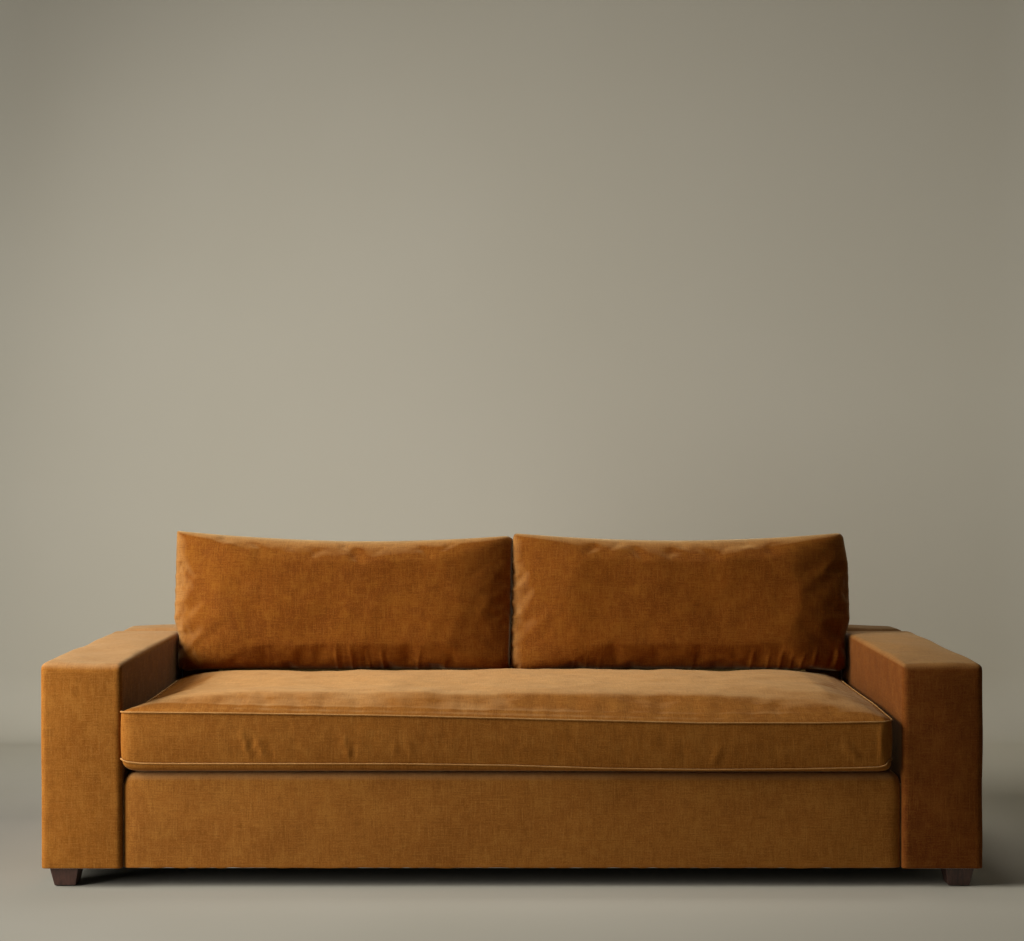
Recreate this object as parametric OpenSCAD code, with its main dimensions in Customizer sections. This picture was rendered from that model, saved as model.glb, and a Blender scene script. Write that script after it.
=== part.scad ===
// Tuxedo sofa with one bench seat cushion, two loose back cushions and tapered block legs.
// X runs along the sofa, the front faces -Y and the floor is z = 0.

/* [Overall size] */
// Width over the outside of both arms
sofa_w = 2440; // [2100:10:2700]
// Depth from the front of the arms to the rear of the back
body_d = 1050; // [1000:10:1120]
// Height of the arms and of the back above the floor
arm_h = 580; // [540:5:640]
// Height of the legs, from the floor to the underside
leg_h = 50; // [40:5:90]
// Height of the sprung deck that the seat cushion lies on
deck_h = 296; // [270:2:320]

/* [Arms and back] */
// Width of each arm
arm_w = 210; // [170:5:250]
// Radius of the soft edges along the top of the arms
arm_edge_r = 24; // [20:1:32]
// Radius of the upright front edges of the arms
arm_front_r = 18; // [17:1:26]
// Thickness of the back at its top
back_t = 174; // [150:2:210]
// Lean of the inside of the back, in degrees
rake = 10; // [6:1:13]
// Radius of the soft edges along the top of the back
back_edge_r = 30; // [24:1:38]
// Radius of the rounded upper ends of the back
back_end_r = 40; // [32:1:41]
// How far the front rail stands behind the front of the arms
rail_setback = 8; // [4:1:14]
// Radius of the soft front edge of the rail
rail_edge_r = 25; // [18:1:28]
// Radius of the rounded upper ends of the rail
rail_end_r = 28; // [20:1:32]

/* [Upholstery] */
// Thickness of the velvet cover
cover_t = 2; // [1.5:0.5:3]
// Thickness of the padding under the cover
pad_t = 12; // [9:1:14]
// Thickness of the webbing straps
web_t = 2; // [1.5:0.5:3]
// Width of the webbing straps
web_w = 50; // [40:5:60]
// Thickness of the pad on the seat springs
deck_pad_t = 18; // [12:1:24]
// Thickness of the dust cover
dust_t = 1; // [0.5:0.25:1.5]
// How far the dust cover stays inside the outline
dust_inset = 20; // [15:1:30]

/* [Timber frame] */
// Thickness of the solid timber rails
rail_t = 28; // [22:1:32]
// Thickness of the plywood boards and panels
ply_t = 18; // [12:1:21]
// Thickness of the hardboard outside panels
hardboard_t = 3; // [2:0.5:5]
// Height of the side rails
side_rail_h = 100; // [80:5:120]
// Height of the cross rails and of the leg blocks
cross_rail_h = 60; // [50:5:75]
// Height of the rails that carry the deck and the straps
tack_rail_h = 60; // [45:5:70]
// Side of each square back end post
end_post_w = 48; // [36:2:56]
// Side of each leg block in its corner
block_w = 100; // [85:5:120]

/* [Springs] */
// Number of seat springs
spring_count = 11; // [7:1:12]
// Number of cross bars in each spring
spring_bars = 21; // [15:2:23]
// Thickness of the spring wire
wire_t = 4; // [3:0.5:4.5]
// Length of the straight part of a spring's cross bar
bar_w = 34; // [26:1:44]
// Thickness of the spring clips
clip_t = 2; // [1.5:0.5:2.5]
// Width of the spring clips
clip_w = 20; // [14:1:24]
// Diameter of the two tie wires
tie_d = 3; // [2:0.5:4]

/* [Legs] */
// Side of a leg at its top
leg_top_w = 75; // [60:1:80]
// Side of a leg at its foot
leg_foot_w = 55; // [42:1:60]
// Diameter of the glide under each leg
glide_d = 30; // [20:1:36]
// Thickness of the glides
glide_t = 2; // [1:0.5:3]
// Diameter of the leg bolts
bolt_d = 8; // [6:1:9]
// Depth that a leg bolt goes into its leg
bolt_in_leg = 36; // [20:1:36]
// Diameter of a tee nut's flange
tee_flange_d = 20; // [16:1:24]
// Diameter of a tee nut's barrel
tee_barrel_d = 10; // [9.5:0.25:11]
// Length of a tee nut's barrel
tee_barrel_l = 12; // [8:1:16]
// Thickness of a tee nut's flange
tee_flange_t = 1.5; // [1:0.25:2]

/* [Seat cushion] */
// How much narrower the seat cushion's sewn edges are than the space between the arms
seat_slack = 32; // [32:1:60]
// How far the seat cushion lies to the left of the middle
seat_lie = 8; // [0:1:9]
// How far the cushion's welt stands in front of the arms
seat_proud = 18; // [10:1:30]
// Height of the boxing between the two welts
boxing_h = 140; // [110:5:160]
// Rise of the crown above the upper welt
seat_crown = 38; // [25:1:50]
// How far the boxing swells out between the welts
boxing_swell = 3; // [1:0.5:4]
// How far the front and the ends are drawn in at their middle
seat_draw = 5; // [0:0.5:8]
// Corner radius of the seat cushion seen from above
seat_corner_r = 26; // [18:1:40]
// Drop of the bottom panel below its seam
seat_belly = 6; // [4:0.5:8]
// Diameter of the welts
welt_d = 7; // [5:0.5:8]
// Thickness of the foam core
core_h = 110; // [80:5:120]
// Thickness of the fibre wrap round the edges of the core
wrap_t = 24; // [18:1:40]

/* [Back cushions] */
// Height of a back cushion from seam to seam at its corners
back_cushion_h = 424; // [360:2:440]
// Swell of a back cushion in front of its seam
front_swell = 98; // [70:2:110]
// Swell of a back cushion behind its seam
rear_swell = 78; // [60:2:85]
// How far the top seam dips between the corner ears
top_dip = 22; // [10:1:30]
// How far the side seams are drawn in at half height
side_draw = 8; // [3:1:14]
// How far the zipped bottom seam is drawn up into the cushion
zip_recess = 8; // [8:0.5:11]
// Clearance between a back cushion and the arm beside it
side_gap = 4; // [1:0.5:8]
// Clearance between the two back cushions
middle_gap = 1; // [0.5:0.5:4]

/* [Zips] */
// Distance from each end of the seat cushion to its zip
seat_zip_end = 294; // [120:1:600]
// Distance from each end of a back cushion to its zip
back_zip_end = 123; // [115:1:300]
// Width of a zip's chain
chain_w = 3; // [2:0.5:3]
// Thickness of a zip's chain
chain_t = 2; // [1.5:0.25:2.25]
// Length of a zip slider
slider_l = 12; // [8:1:16]
// Wall of a zip slider beside and below the chain
slider_wall = 1.2; // [0.8:0.1:1.4]
// Running clearance of a slider on its chain
slider_gap = 0.3; // [0.2:0.05:0.4]

/* [Hidden] */

// Overrun of a cut past the face that it opens
over = 1;
// Gap between soft pieces that belong to different bodies
rest_gap = 0.4;
// Gap between a filling and the cover round it
fill_gap = 0.2;

velvet = [0.63, 0.39, 0.15];
velvet_top = [0.72, 0.48, 0.24];
timber = [0.78, 0.64, 0.45];
plywood = [0.82, 0.7, 0.52];
leg_wood = [0.3, 0.17, 0.14];
steel = [0.6, 0.6, 0.62];
brass = [0.72, 0.58, 0.3];
foam = [0.93, 0.88, 0.72];
wadding = [0.94, 0.94, 0.92];
strap = [0.66, 0.56, 0.38];
cambric = [0.14, 0.14, 0.15];
nylon = [0.85, 0.85, 0.82];

// Outline of the body
half_w = sofa_w / 2;
inner_x = half_w - arm_w;
front_y = seat_proud / 2 - body_d / 2;
rear_y = front_y + body_d;
back_front_y = rear_y - back_t;
rail_y = front_y + rail_setback;

// The frame lies this far inside the covers
frame_inset = cover_t + pad_t;
inner_inset = frame_inset + web_t;
frame_x = half_w - frame_inset;
frame_inner_x = inner_x + inner_inset;
frame_front_y = front_y + frame_inset;
frame_rear_y = rear_y - frame_inset;
frame_top = arm_h - frame_inset;
board_bottom = frame_top - ply_t;
panel_rear_y = frame_front_y + ply_t;
rear_rail_y = frame_rear_y - rail_t;
side_rail_x = frame_x - rail_t;
side_rail_top = leg_h + side_rail_h;
cross_top = leg_h + cross_rail_h;

// Layers of the deck, from its top face down
pad_top = deck_h - cover_t;
pad_bottom = pad_top - deck_pad_t;
wire_z = pad_bottom - tie_d - wire_t;
rail_top = wire_z - clip_t;
rail_board_y = rail_y + frame_inset;
edge_roll_y = rail_board_y + rail_t / 2;
deck_seam_share = 0.11;
deck_seam_y = rail_y + deck_seam_share * body_d;

// The inside of the back leans on a line that touches its rounded top edge
lean_c = [back_front_y + back_edge_r, arm_h - back_edge_r];
function lean_y(z, inset) =
    lean_c.x - (back_edge_r - inset - (z - lean_c.y) * sin(rake)) / cos(rake);
post_front_y = lean_y(rail_top, inner_inset);
arm_joint_y = lean_y(board_bottom, inner_inset);
spring_rail_y = post_front_y - rail_t;
deck_rear_y = lean_y(pad_bottom, 0);

// Where the posts, cross rails, studs and straps stand, as shares of the width or depth
middle_post_share = 0.5;
post_xs = [-inner_x + rail_t / 2, -middle_post_share * inner_x, 0,
    middle_post_share * inner_x, inner_x - rail_t / 2];
cross_xs = [-middle_post_share * inner_x, 0, middle_post_share * inner_x];
stud_shares = [0.36, 0.7];
arm_strap_shares = [0.2, 0.5, 0.8];
back_strap_shares = [-0.87, -0.63, -0.37, -0.13, 0.13, 0.37, 0.63, 0.87];
tie_shares = [0.35, 0.68];

// Springs and clips
clip_leaf_share = 0.8;
clip_l = 4 * wire_t;
spring_y0 = edge_roll_y + clip_t + wire_t / 2;
spring_y1 = spring_rail_y + rail_t / 2;
spring_pitch = (spring_y1 - spring_y0) / (spring_bars - 1);
spring_step = 2 * inner_x / spring_count;
turn_out_share = 0.38;
turn_in_share = 0.16;

// Legs
leg_seat = tee_flange_d * 0.8;
leg_x = side_rail_x - leg_seat;
leg_front_y = panel_rear_y + leg_seat;
leg_rear_y = rear_rail_y - leg_seat;
leg_places = [[-leg_x, leg_front_y], [leg_x, leg_front_y],
    [-leg_x, leg_rear_y], [leg_x, leg_rear_y], [0, 0]];
bolt_tail = 4 * tee_flange_t;

// Seat cushion. Its sewn edges lie inside the welts that they hold.
welt_r = welt_d / 2;
welt_out = welt_r * (1 + sqrt(0.5));
seat_a = inner_x - seat_slack / 2;
seat_front = front_y - seat_proud + welt_out;
seat_rear = lean_y(deck_h, 0) - welt_out - rest_gap;
seat_b = (seat_rear - seat_front) / 2;
seat_c = [-seat_lie, (seat_rear + seat_front) / 2];
seat_floor = deck_h + rest_gap;
seam_low = seat_floor + seat_belly;
seam_high = seam_low + boxing_h;
seat_arc_n = 3;
seat_long_n = 10;
seat_short_n = 5;
// Each ring of the crown: inset along X, inset along Y and height, as shares
crown_shares = [[0, 0, 0], [0.016, 0.03, 0.27], [0.05, 0.1, 0.56], [0.14, 0.25, 0.83],
    [0.32, 0.48, 0.96], [0.62, 0.76, 1]];
crown_inner = [0, 2, 3, 5];
swell_low_share = 0.28;
belly_in_share = 0.05;

// Back cushions, in the leaning frame of their seams
cushion_a = (2 * inner_x - 2 * side_gap - middle_gap) / 4;
cushion_b = back_cushion_h / 2;
cushion_x = cushion_a + middle_gap / 2;
long_n = 11;
short_n = 6;
// Ring sizes of the front and rear panels, from the seam inwards
front_shares = [1, 0.975, 0.92, 0.83, 0.7, 0.5, 0.26];
rear_shares = [1, 0.97, 0.9, 0.78, 0.6, 0.34];
front_inner = [0, 2, 4, 6];
rear_inner = [0, 2, 3, 5];
front_power = 4;
rear_power = 7;
round_off = 2.4;
// The lower corners are drawn up level with the swell beside them
ear_lift = (1 - rear_shares[1]) * cushion_b;
lean_up = [0, sin(rake), cos(rake)];
lean_out = [0, -cos(rake), sin(rake)];

// The seam plane stands off the leaning back by the rear swell
seam_off = rear_swell + rest_gap;
function seam_y(z) = lean_y(z, -seam_off);

// Zips
seat_zip_l = 2 * (seat_a - seat_zip_end);
back_zip_l = 2 * (cushion_a - back_zip_end);
slider_w = chain_w + 2 * slider_gap + 2 * slider_wall;
slider_h = chain_t + slider_gap + slider_wall;

function unit(v) = v / norm(v);
function turned(v) = [-v.y, v.x];
function clip_index(i, n) = max(0, min(n - 1, i));

// Corner of a ribbon's edge, offset by d from its centre line
function mitre(p, i, d) =
    let (n = len(p),
        na = turned(unit(i == 0 ? p[1] - p[0] : p[i] - p[i - 1])),
        nb = turned(unit(i == n - 1 ? p[i] - p[i - 1] : p[i + 1] - p[i])),
        m = unit(na + nb))
    p[i] + m * d / (m * na);
function ribbon(p, d) = concat(
    [for (i = [0:len(p) - 1]) mitre(p, i, d)],
    [for (i = [len(p) - 1:-1:0]) mitre(p, i, -d)]);

// Centre line of a spring: cross bars joined by turns at alternate ends
spring_path = [for (k = [0:spring_bars - 1]) let (
        s = k % 2 == 0 ? 1 : -1,
        y = spring_y0 + k * spring_pitch,
        e = bar_w / 2,
        out = e + turn_out_share * spring_pitch)
    each k == spring_bars - 1 ? [[-s * e, y], [s * e, y]]
        : [[-s * e, y], [s * e, y],
            [s * out, y + turn_in_share * spring_pitch],
            [s * out, y + (1 - turn_in_share) * spring_pitch]]];

// Rounded rectangle ring with drawn-in front and ends, for the seat cushion
side_ends = [[1, 1], [-1, 1], [-1, -1], [1, -1]];
side_steps = [seat_long_n, seat_short_n, seat_long_n, seat_short_n];
side_draws = [0, 1, 1, 1];
function seat_ring(a, b, r, z, draw) = [for (k = [0:3]) let (
        c = [side_ends[k].x * (a - r), side_ends[k].y * (b - r)],
        e = side_ends[(k + 1) % 4],
        d = [e.x * (a - r), e.y * (b - r)],
        out = [cos(90 * (k + 1)), sin(90 * (k + 1))])
    each concat(
        [for (j = [0:seat_arc_n]) let (t = 90 * (k + j / seat_arc_n))
            [seat_c.x + c.x + r * cos(t), seat_c.y + c.y + r * sin(t), z]],
        [for (j = [1:side_steps[k] - 1]) let (
                t = j / side_steps[k],
                p = c + (d - c) * t
                    + out * (r - 4 * t * (1 - t) * draw * side_draws[k]))
            [seat_c.x + p.x, seat_c.y + p.y, z]])];

// Rings of the seat cushion's surfaces, g inside the outer one
function crown_ring(i, g) = let (
        q = crown_shares[i],
        a = (seat_a - g) * (1 - q.x),
        b = (seat_b - g) * (1 - q.y))
    seat_ring(a, b, seat_corner_r, seam_high - g * sign(q.z) + q.z * seat_crown,
        seat_draw * (1 - q.z));
function boxing_ring(t, g) =
    seat_ring(seat_a - g + (t > 0 && t < 1 ? boxing_swell : 0),
        seat_b - g + (t > 0 && t < 1 ? boxing_swell : 0),
        seat_corner_r, seam_low + t * boxing_h, seat_draw);
function belly_ring(t, g) =
    seat_ring((seat_a - g) * (1 - t * belly_in_share), (seat_b - g) * (1 - 2 * t * belly_in_share),
        seat_corner_r, seam_low + g * sign(t) - t * seat_belly, seat_draw * (1 - t));

// Height of the seat's top at a depth y, behind its middle
seat_top_table = [for (q = crown_shares)
    [-(seat_c.y + seat_b * (1 - q.y)), seam_high + q.z * seat_crown]];
function seat_top(y) = y > seat_rear ? seam_high : lookup(-y, seat_top_table);

// Points round a square, as shares from its centre, from the lower left corner
square_shares = concat(
    [for (j = [0:long_n - 1]) [2 * j / long_n - 1, -1]],
    [for (j = [0:short_n - 1]) [1, 2 * j / short_n - 1]],
    [for (j = [0:long_n - 1]) [1 - 2 * j / long_n, 1]],
    [for (j = [0:short_n - 1]) [-1, 1 - 2 * j / short_n]]);

// A ring of a back cushion: s is its size, w its distance from the seam plane
function cushion_ring(s, w, g) = [for (q = square_shares) let (
        k = min(1, (1 - s) * round_off),
        u = q.x * sqrt(1 - k * q.y * q.y / 2),
        v = q.y * sqrt(1 - k * q.x * q.x / 2),
        dip = q.y > 0 ? q.y * top_dip * (1 - q.x * q.x) : 0,
        draw = side_draw * (1 - q.y * q.y) * q.x,
        groove = s == 1 && q.y == -1 ? ear_lift + (abs(q.x) < 1 ? zip_recess : 0) : 0)
    [(cushion_a - g) * s * u - s * draw,
        w,
        cushion_b + (cushion_b - g) * s * v - s * dip + groove]];
function swell(s, power) = sqrt(1 - pow(s, power));
function front_ring(i, g) =
    cushion_ring(front_shares[i], (front_swell - g) * swell(front_shares[i], front_power), g);
function rear_ring(i, g) =
    cushion_ring(rear_shares[i], -(rear_swell - g) * swell(rear_shares[i], rear_power), g);

// From the leaning frame to the sofa's, with the bottom seam at base height z
function leaned(p, z) = [p.x, seam_y(z), z] + p.y * lean_out + p.z * lean_up;
// The cushion is let down until its lowest point is a gap above the seat
probe_z = seam_high + seat_crown;
probe = [for (r = concat([for (i = [0:len(front_shares) - 1]) front_ring(i, 0)],
        [for (i = [1:len(rear_shares) - 1]) rear_ring(i, 0)])) each
    [for (p = r) leaned(p, probe_z)]];
function drop_error(z) = min([for (p = probe) let (dz = z - probe_z)
    p.z + dz - seat_top(p.y + dz * tan(rake))]);
function settle(z, n) = n == 0 ? z : settle(z - drop_error(z) + rest_gap, n - 1);
cushion_z = settle(probe_z, 8);

// Box between two corners
module block(lo, hi) {
    translate(lo)
        cube(hi - lo);
}

// Extrusions of an outline that is drawn as [y, z] or as [x, z]
module along_x(x0, x1) {
    translate([x0, 0, 0])
        rotate([90, 0, 90])
            linear_extrude(x1 - x0)
                children();
}
module along_y(y0, y1) {
    translate([0, y1, 0])
        rotate([90, 0, 0])
            linear_extrude(y1 - y0)
                children();
}

// The same on both sides of the middle
module both_sides() {
    children();
    mirror([1, 0, 0])
        children();
}

// Rectangle with rounded upper corners, of radius ra on the left and rb on the right
module round_top(lo, hi, ra, rb) {
    r = max(ra, rb);
    translate(lo)
        square([hi.x - lo.x, hi.y - r - lo.y]);
    translate([lo.x + ra, lo.y])
        square([hi.x - lo.x - ra - rb, hi.y - lo.y]);
    if (ra > 0)
        translate([lo.x + ra, hi.y - ra])
            circle(ra, $fn = 64);
    if (rb > 0)
        translate([hi.x - rb, hi.y - rb])
            circle(rb, $fn = 64);
}

// Solid through a row of rings, closed at both ends or joined into a loop. The first bands that
// run back along a surface are folded the other way, to match the piece that lies against them.
module loft(rings, back_bands = 0, loop = false) {
    m = len(rings[0]);
    n = len(rings);
    bands = loop ? n : n - 1;
    walls = [for (i = [0:bands - 1], j = [0:m - 1]) let (
            a = i * m + j,
            b = i * m + (j + 1) % m,
            c = (i + 1) % n * m + (j + 1) % m,
            d = (i + 1) % n * m + j)
        each i < back_bands ? [[a, d, b], [b, d, c]] : [[a, d, c], [a, c, b]]];
    first = [for (j = [0:m - 1]) (j + 1) % m];
    last = [for (j = [m:-1:1]) (n - 1) * m + (j + 1) % m];
    ends = loop ? [] : [first, last];
    polyhedron(points = [for (r = rings) each r], faces = concat(walls, ends));
}

// Right arm, g inside its cover, run past its open ends by o
module arm_form(g, o) {
    intersection() {
        along_y(front_y, back_front_y + o)
            round_top([inner_x + g, leg_h - o], [half_w - g, arm_h - g],
                arm_edge_r - g, arm_edge_r - g);
        along_x(inner_x, half_w)
            round_top([front_y + g, leg_h - o], [back_front_y + o, arm_h - g],
                arm_edge_r - g, 0);
        translate([0, 0, leg_h - o])
            linear_extrude(arm_h - leg_h + o)
                rotate(180)
                    round_top([-half_w + g, -back_front_y - o], [-inner_x - g, -front_y - g],
                        arm_front_r - g, arm_front_r - g);
    }
}

// Where the rails and the deck pass through the inner face of an arm
module arm_window() {
    block([inner_x - over, rail_board_y, leg_h - over],
        [frame_inner_x, back_front_y + over, rail_top]);
}
module arm_cover() {
    difference() {
        arm_form(0, 0);
        arm_form(cover_t, over);
        arm_window();
    }
}
module arm_padding() {
    difference() {
        arm_form(cover_t, 0);
        block([inner_x + frame_inset, frame_front_y, leg_h - over],
            [frame_x, back_front_y + over, frame_top]);
        arm_window();
    }
}

// The back, g inside its cover, run past its open ends by o. Its leaning front runs past the pad
// that it ends on, and the windows cut it level with that pad.
module back_form(g, o) {
    top = lean_c + (back_edge_r - g) * [-cos(rake), sin(rake)];
    low = pad_bottom - over;
    intersection() {
        union() {
            along_x(-half_w + g, half_w - g)
                round_top([back_front_y + g, leg_h - o], [rear_y - g, arm_h - g],
                    back_edge_r - g, back_edge_r - g);
            along_x(-inner_x - o, inner_x + o)
                polygon([top, [lean_y(low, g), low], [lean_c.x, low], [lean_c.x, top.y]]);
        }
        along_y(front_y, rear_y)
            round_top([-half_w + g, leg_h - o], [half_w - g, arm_h - g],
                back_end_r - g, back_end_r - g);
    }
}

// Where the arm frames and the deck pass through the front of the back
module back_windows() {
    both_sides()
        block([inner_x + frame_inset, back_front_y - over, leg_h - over],
            [frame_x, back_front_y + inner_inset, frame_top]);
    block([-inner_x - over, lean_y(pad_bottom, 0) - over, leg_h - over],
        [inner_x + over, back_front_y + inner_inset, pad_bottom]);
}

// Space for the back's frame and straps
module back_space() {
    block([-frame_x, back_front_y + frame_inset, leg_h - over],
        [frame_x, frame_rear_y, frame_top]);
    along_x(-inner_x - over, inner_x + over)
        polygon([[lean_y(frame_top, frame_inset), frame_top],
            [lean_y(pad_bottom - over, frame_inset), pad_bottom - over],
            [lean_c.x, pad_bottom - over], [lean_c.x, frame_top]]);
}

// Front rail and deck, g inside their cover
module deck_outline(g) {
    round_top([-inner_x + g, leg_h - over], [inner_x - g, deck_h - g],
        rail_end_r - g, rail_end_r - g);
    translate([-inner_x - g, leg_h - over])
        square([2 * inner_x + 2 * g, deck_h - rail_end_r - leg_h + over]);
}
module rail_form(g, o) {
    intersection() {
        along_y(rail_y, deck_seam_y + o)
            deck_outline(g);
        along_x(-inner_x - g, inner_x + g)
            round_top([rail_y + g, leg_h - o], [deck_seam_y + o, deck_h - g],
                rail_edge_r - g, 0);
    }
}

module front_rail() {
    color(timber)
        block([-frame_inner_x, rail_board_y, leg_h],
            [frame_inner_x, rail_board_y + rail_t, rail_top]);
}
module rear_rail() {
    color(timber)
        block([-frame_x, rear_rail_y, leg_h], [frame_x, frame_rear_y, rail_top]);
}
module spring_rail() {
    color(timber)
        block([-frame_inner_x, spring_rail_y, rail_top - tack_rail_h],
            [frame_inner_x, post_front_y, rail_top]);
}
module side_rails() {
    color(timber)
        both_sides()
            block([side_rail_x, panel_rear_y, leg_h], [frame_x, rear_rail_y, side_rail_top]);
}

// Bore for a leg bolt with the wider seat of its tee nut
module bolt_bore() {
    cylinder(d = bolt_d, h = cross_top + over, $fn = 48);
    translate([0, 0, cross_top - tee_barrel_l])
        cylinder(d = tee_barrel_d, h = tee_barrel_l + over, $fn = 48);
}
module cross_rails() {
    color(timber)
        difference() {
            for (x = cross_xs)
                block([x - rail_t / 2, rail_board_y + rail_t, leg_h],
                    [x + rail_t / 2, rear_rail_y, cross_top]);
            bolt_bore();
        }
}

// Corner block with its inner corner cut off, turned into each corner of the base
module leg_blocks() {
    cut_share = 0.35;
    outline = block_w * [[0, 0], [1, 0], [1, cut_share], [cut_share, 1], [0, 1]];
    color(timber)
        both_sides()
            for (end = [[1, panel_rear_y, leg_front_y], [-1, rear_rail_y, leg_rear_y]])
                difference() {
                    translate([side_rail_x, end[1], leg_h])
                        linear_extrude(cross_rail_h)
                            polygon([for (p = outline) [-p.x, end[0] * p.y]]);
                    translate([leg_x, end[2], 0])
                        bolt_bore();
                }
}
module arm_front_panels() {
    color(plywood)
        both_sides()
            block([frame_inner_x, frame_front_y, leg_h], [frame_x, panel_rear_y, frame_top]);
}
module arm_rear_panels() {
    color(plywood)
        both_sides()
            block([frame_inner_x, arm_joint_y, side_rail_top],
                [frame_x, arm_joint_y + ply_t, board_bottom]);
}
module arm_top_boards() {
    color(plywood)
        both_sides()
            block([frame_inner_x, panel_rear_y, board_bottom],
                [frame_x, arm_joint_y, frame_top]);
}
module arm_inner_rails() {
    color(timber)
        both_sides()
            block([frame_inner_x, panel_rear_y, rail_top - tack_rail_h],
                [frame_inner_x + rail_t, arm_joint_y, rail_top]);
}
module arm_studs() {
    color(timber)
        both_sides()
            for (s = stud_shares)
                translate([0, panel_rear_y + s * (arm_joint_y - panel_rear_y), 0])
                    block([frame_inner_x + rail_t, -rail_t / 2, side_rail_top],
                        [frame_x - hardboard_t, rail_t / 2, board_bottom]);
}
module arm_side_panels() {
    color(plywood)
        both_sides()
            block([frame_x - hardboard_t, panel_rear_y, side_rail_top],
                [frame_x, arm_joint_y, board_bottom]);
}
module back_end_posts() {
    color(timber)
        both_sides()
            block([frame_x - end_post_w, frame_rear_y - hardboard_t - end_post_w, rail_top],
                [frame_x, frame_rear_y - hardboard_t, board_bottom]);
}
module back_posts() {
    outline = [[lean_y(board_bottom, inner_inset), board_bottom],
        [frame_rear_y - hardboard_t, board_bottom], [frame_rear_y - hardboard_t, rail_top],
        [rear_rail_y, rail_top], [rear_rail_y, cross_top], [post_front_y, cross_top],
        [post_front_y, rail_top]];
    color(timber)
        for (x = post_xs)
            along_x(x - rail_t / 2, x + rail_t / 2)
                polygon(outline);
}
module back_top_board() {
    color(plywood)
        along_x(-frame_x, frame_x)
            polygon([[lean_y(board_bottom, inner_inset), board_bottom],
                [frame_rear_y, board_bottom], [frame_rear_y, frame_top],
                [lean_y(frame_top, inner_inset), frame_top]]);
}
module back_lower_rails() {
    top = pad_bottom + tack_rail_h;
    color(timber)
        for (i = [0:len(post_xs) - 2])
            along_x(post_xs[i] + rail_t / 2, post_xs[i + 1] - rail_t / 2)
                polygon([[lean_y(pad_bottom, inner_inset), pad_bottom],
                    [lean_y(pad_bottom, inner_inset + rail_t), pad_bottom],
                    [lean_y(top, inner_inset + rail_t), top],
                    [lean_y(top, inner_inset), top]]);
}
module back_outer_panel() {
    color(plywood)
        block([-frame_x, frame_rear_y - hardboard_t, rail_top],
            [frame_x, frame_rear_y, board_bottom]);
}

module spring_places() {
    for (i = [0:spring_count - 1])
        translate([(i + 0.5) * spring_step - inner_x, 0, 0])
            children();
}
module seat_springs() {
    color(steel)
        spring_places()
            translate([0, 0, wire_z])
                linear_extrude(wire_t)
                    polygon(ribbon(spring_path, wire_t / 2));
}

// A clip folded over the end bar of a spring, its open side towards +Y
module spring_clip() {
    h = wire_t + 2 * clip_t;
    leaf = clip_leaf_share * clip_l;
    translate([0, -wire_t / 2 - clip_t, rail_top])
        along_x(-clip_w / 2, clip_w / 2)
            polygon([[0, 0], [clip_l, 0], [clip_l, clip_t], [clip_t, clip_t],
                [clip_t, h - clip_t], [leaf, h - clip_t], [leaf, h], [0, h]]);
}
module spring_clips() {
    color(steel)
        spring_places() {
            translate([0, spring_y0, 0])
                spring_clip();
            translate([0, spring_y1, 0])
                mirror([0, 1, 0])
                    spring_clip();
        }
}
module spring_tie_wires() {
    color(steel)
        for (s = tie_shares)
            translate([0, spring_y0 + s * (spring_y1 - spring_y0), pad_bottom - tie_d / 2])
                rotate([0, 90, 0])
                    cylinder(d = tie_d, h = 2 * inner_x - spring_step / 2, center = true, $fn = 32);
}
module back_webbing() {
    low = pad_bottom + web_w / 5;
    top = frame_top - web_w / 10;
    color(strap)
        for (s = back_strap_shares)
            along_x(s * inner_x - web_w / 2, s * inner_x + web_w / 2)
                polygon([[lean_y(low, frame_inset), low], [lean_y(low, inner_inset), low],
                    [lean_y(top, inner_inset), top], [lean_y(top, frame_inset), top]]);
}
module arm_webbing() {
    color(strap)
        both_sides()
            for (s = arm_strap_shares)
                translate([0, panel_rear_y + s * (arm_joint_y - panel_rear_y), 0])
                    block([inner_x + frame_inset, -web_w / 2, rail_top - tack_rail_h],
                        [frame_inner_x, web_w / 2, frame_top]);
}

module left_arm_padding() {
    color(wadding)
        mirror([1, 0, 0])
            arm_padding();
}
module right_arm_padding() {
    color(wadding)
        arm_padding();
}
module back_padding() {
    color(wadding)
        difference() {
            back_form(cover_t, 0);
            back_space();
            back_windows();
        }
}
module rail_padding() {
    color(wadding)
        difference() {
            intersection() {
                rail_form(cover_t, 0);
                block([-inner_x, rail_y, leg_h], [inner_x, edge_roll_y, deck_h]);
            }
            block([-half_w, rail_board_y, leg_h - over], [half_w, edge_roll_y + over, rail_top]);
        }
}
module deck_pad() {
    color(foam)
        intersection() {
            along_y(edge_roll_y, deck_rear_y)
                deck_outline(cover_t);
            block([-inner_x, edge_roll_y, pad_bottom], [inner_x, deck_rear_y, deck_h]);
        }
}
module deck_cloth() {
    color(velvet)
        intersection() {
            along_y(deck_seam_y, deck_rear_y)
                difference() {
                    deck_outline(0);
                    deck_outline(cover_t);
                }
            block([-inner_x, deck_seam_y, pad_bottom], [inner_x, deck_rear_y, deck_h]);
        }
}
module left_arm_cover() {
    color(velvet)
        mirror([1, 0, 0])
            arm_cover();
}
module right_arm_cover() {
    color(velvet)
        arm_cover();
}
module back_cover() {
    color(velvet)
        difference() {
            back_form(0, 0);
            back_form(cover_t, over);
            back_windows();
        }
}
module rail_cover() {
    color(velvet)
        difference() {
            rail_form(0, 0);
            rail_form(cover_t, over);
        }
}
module dust_cover() {
    color(cambric)
        difference() {
            block([-half_w + dust_inset, front_y + dust_inset, leg_h - dust_t],
                [half_w - dust_inset, rear_y - dust_inset, leg_h]);
            for (p = leg_places)
                translate([p.x, p.y, leg_h])
                    cube(leg_top_w + 2 * over, center = true);
        }
}

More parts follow.
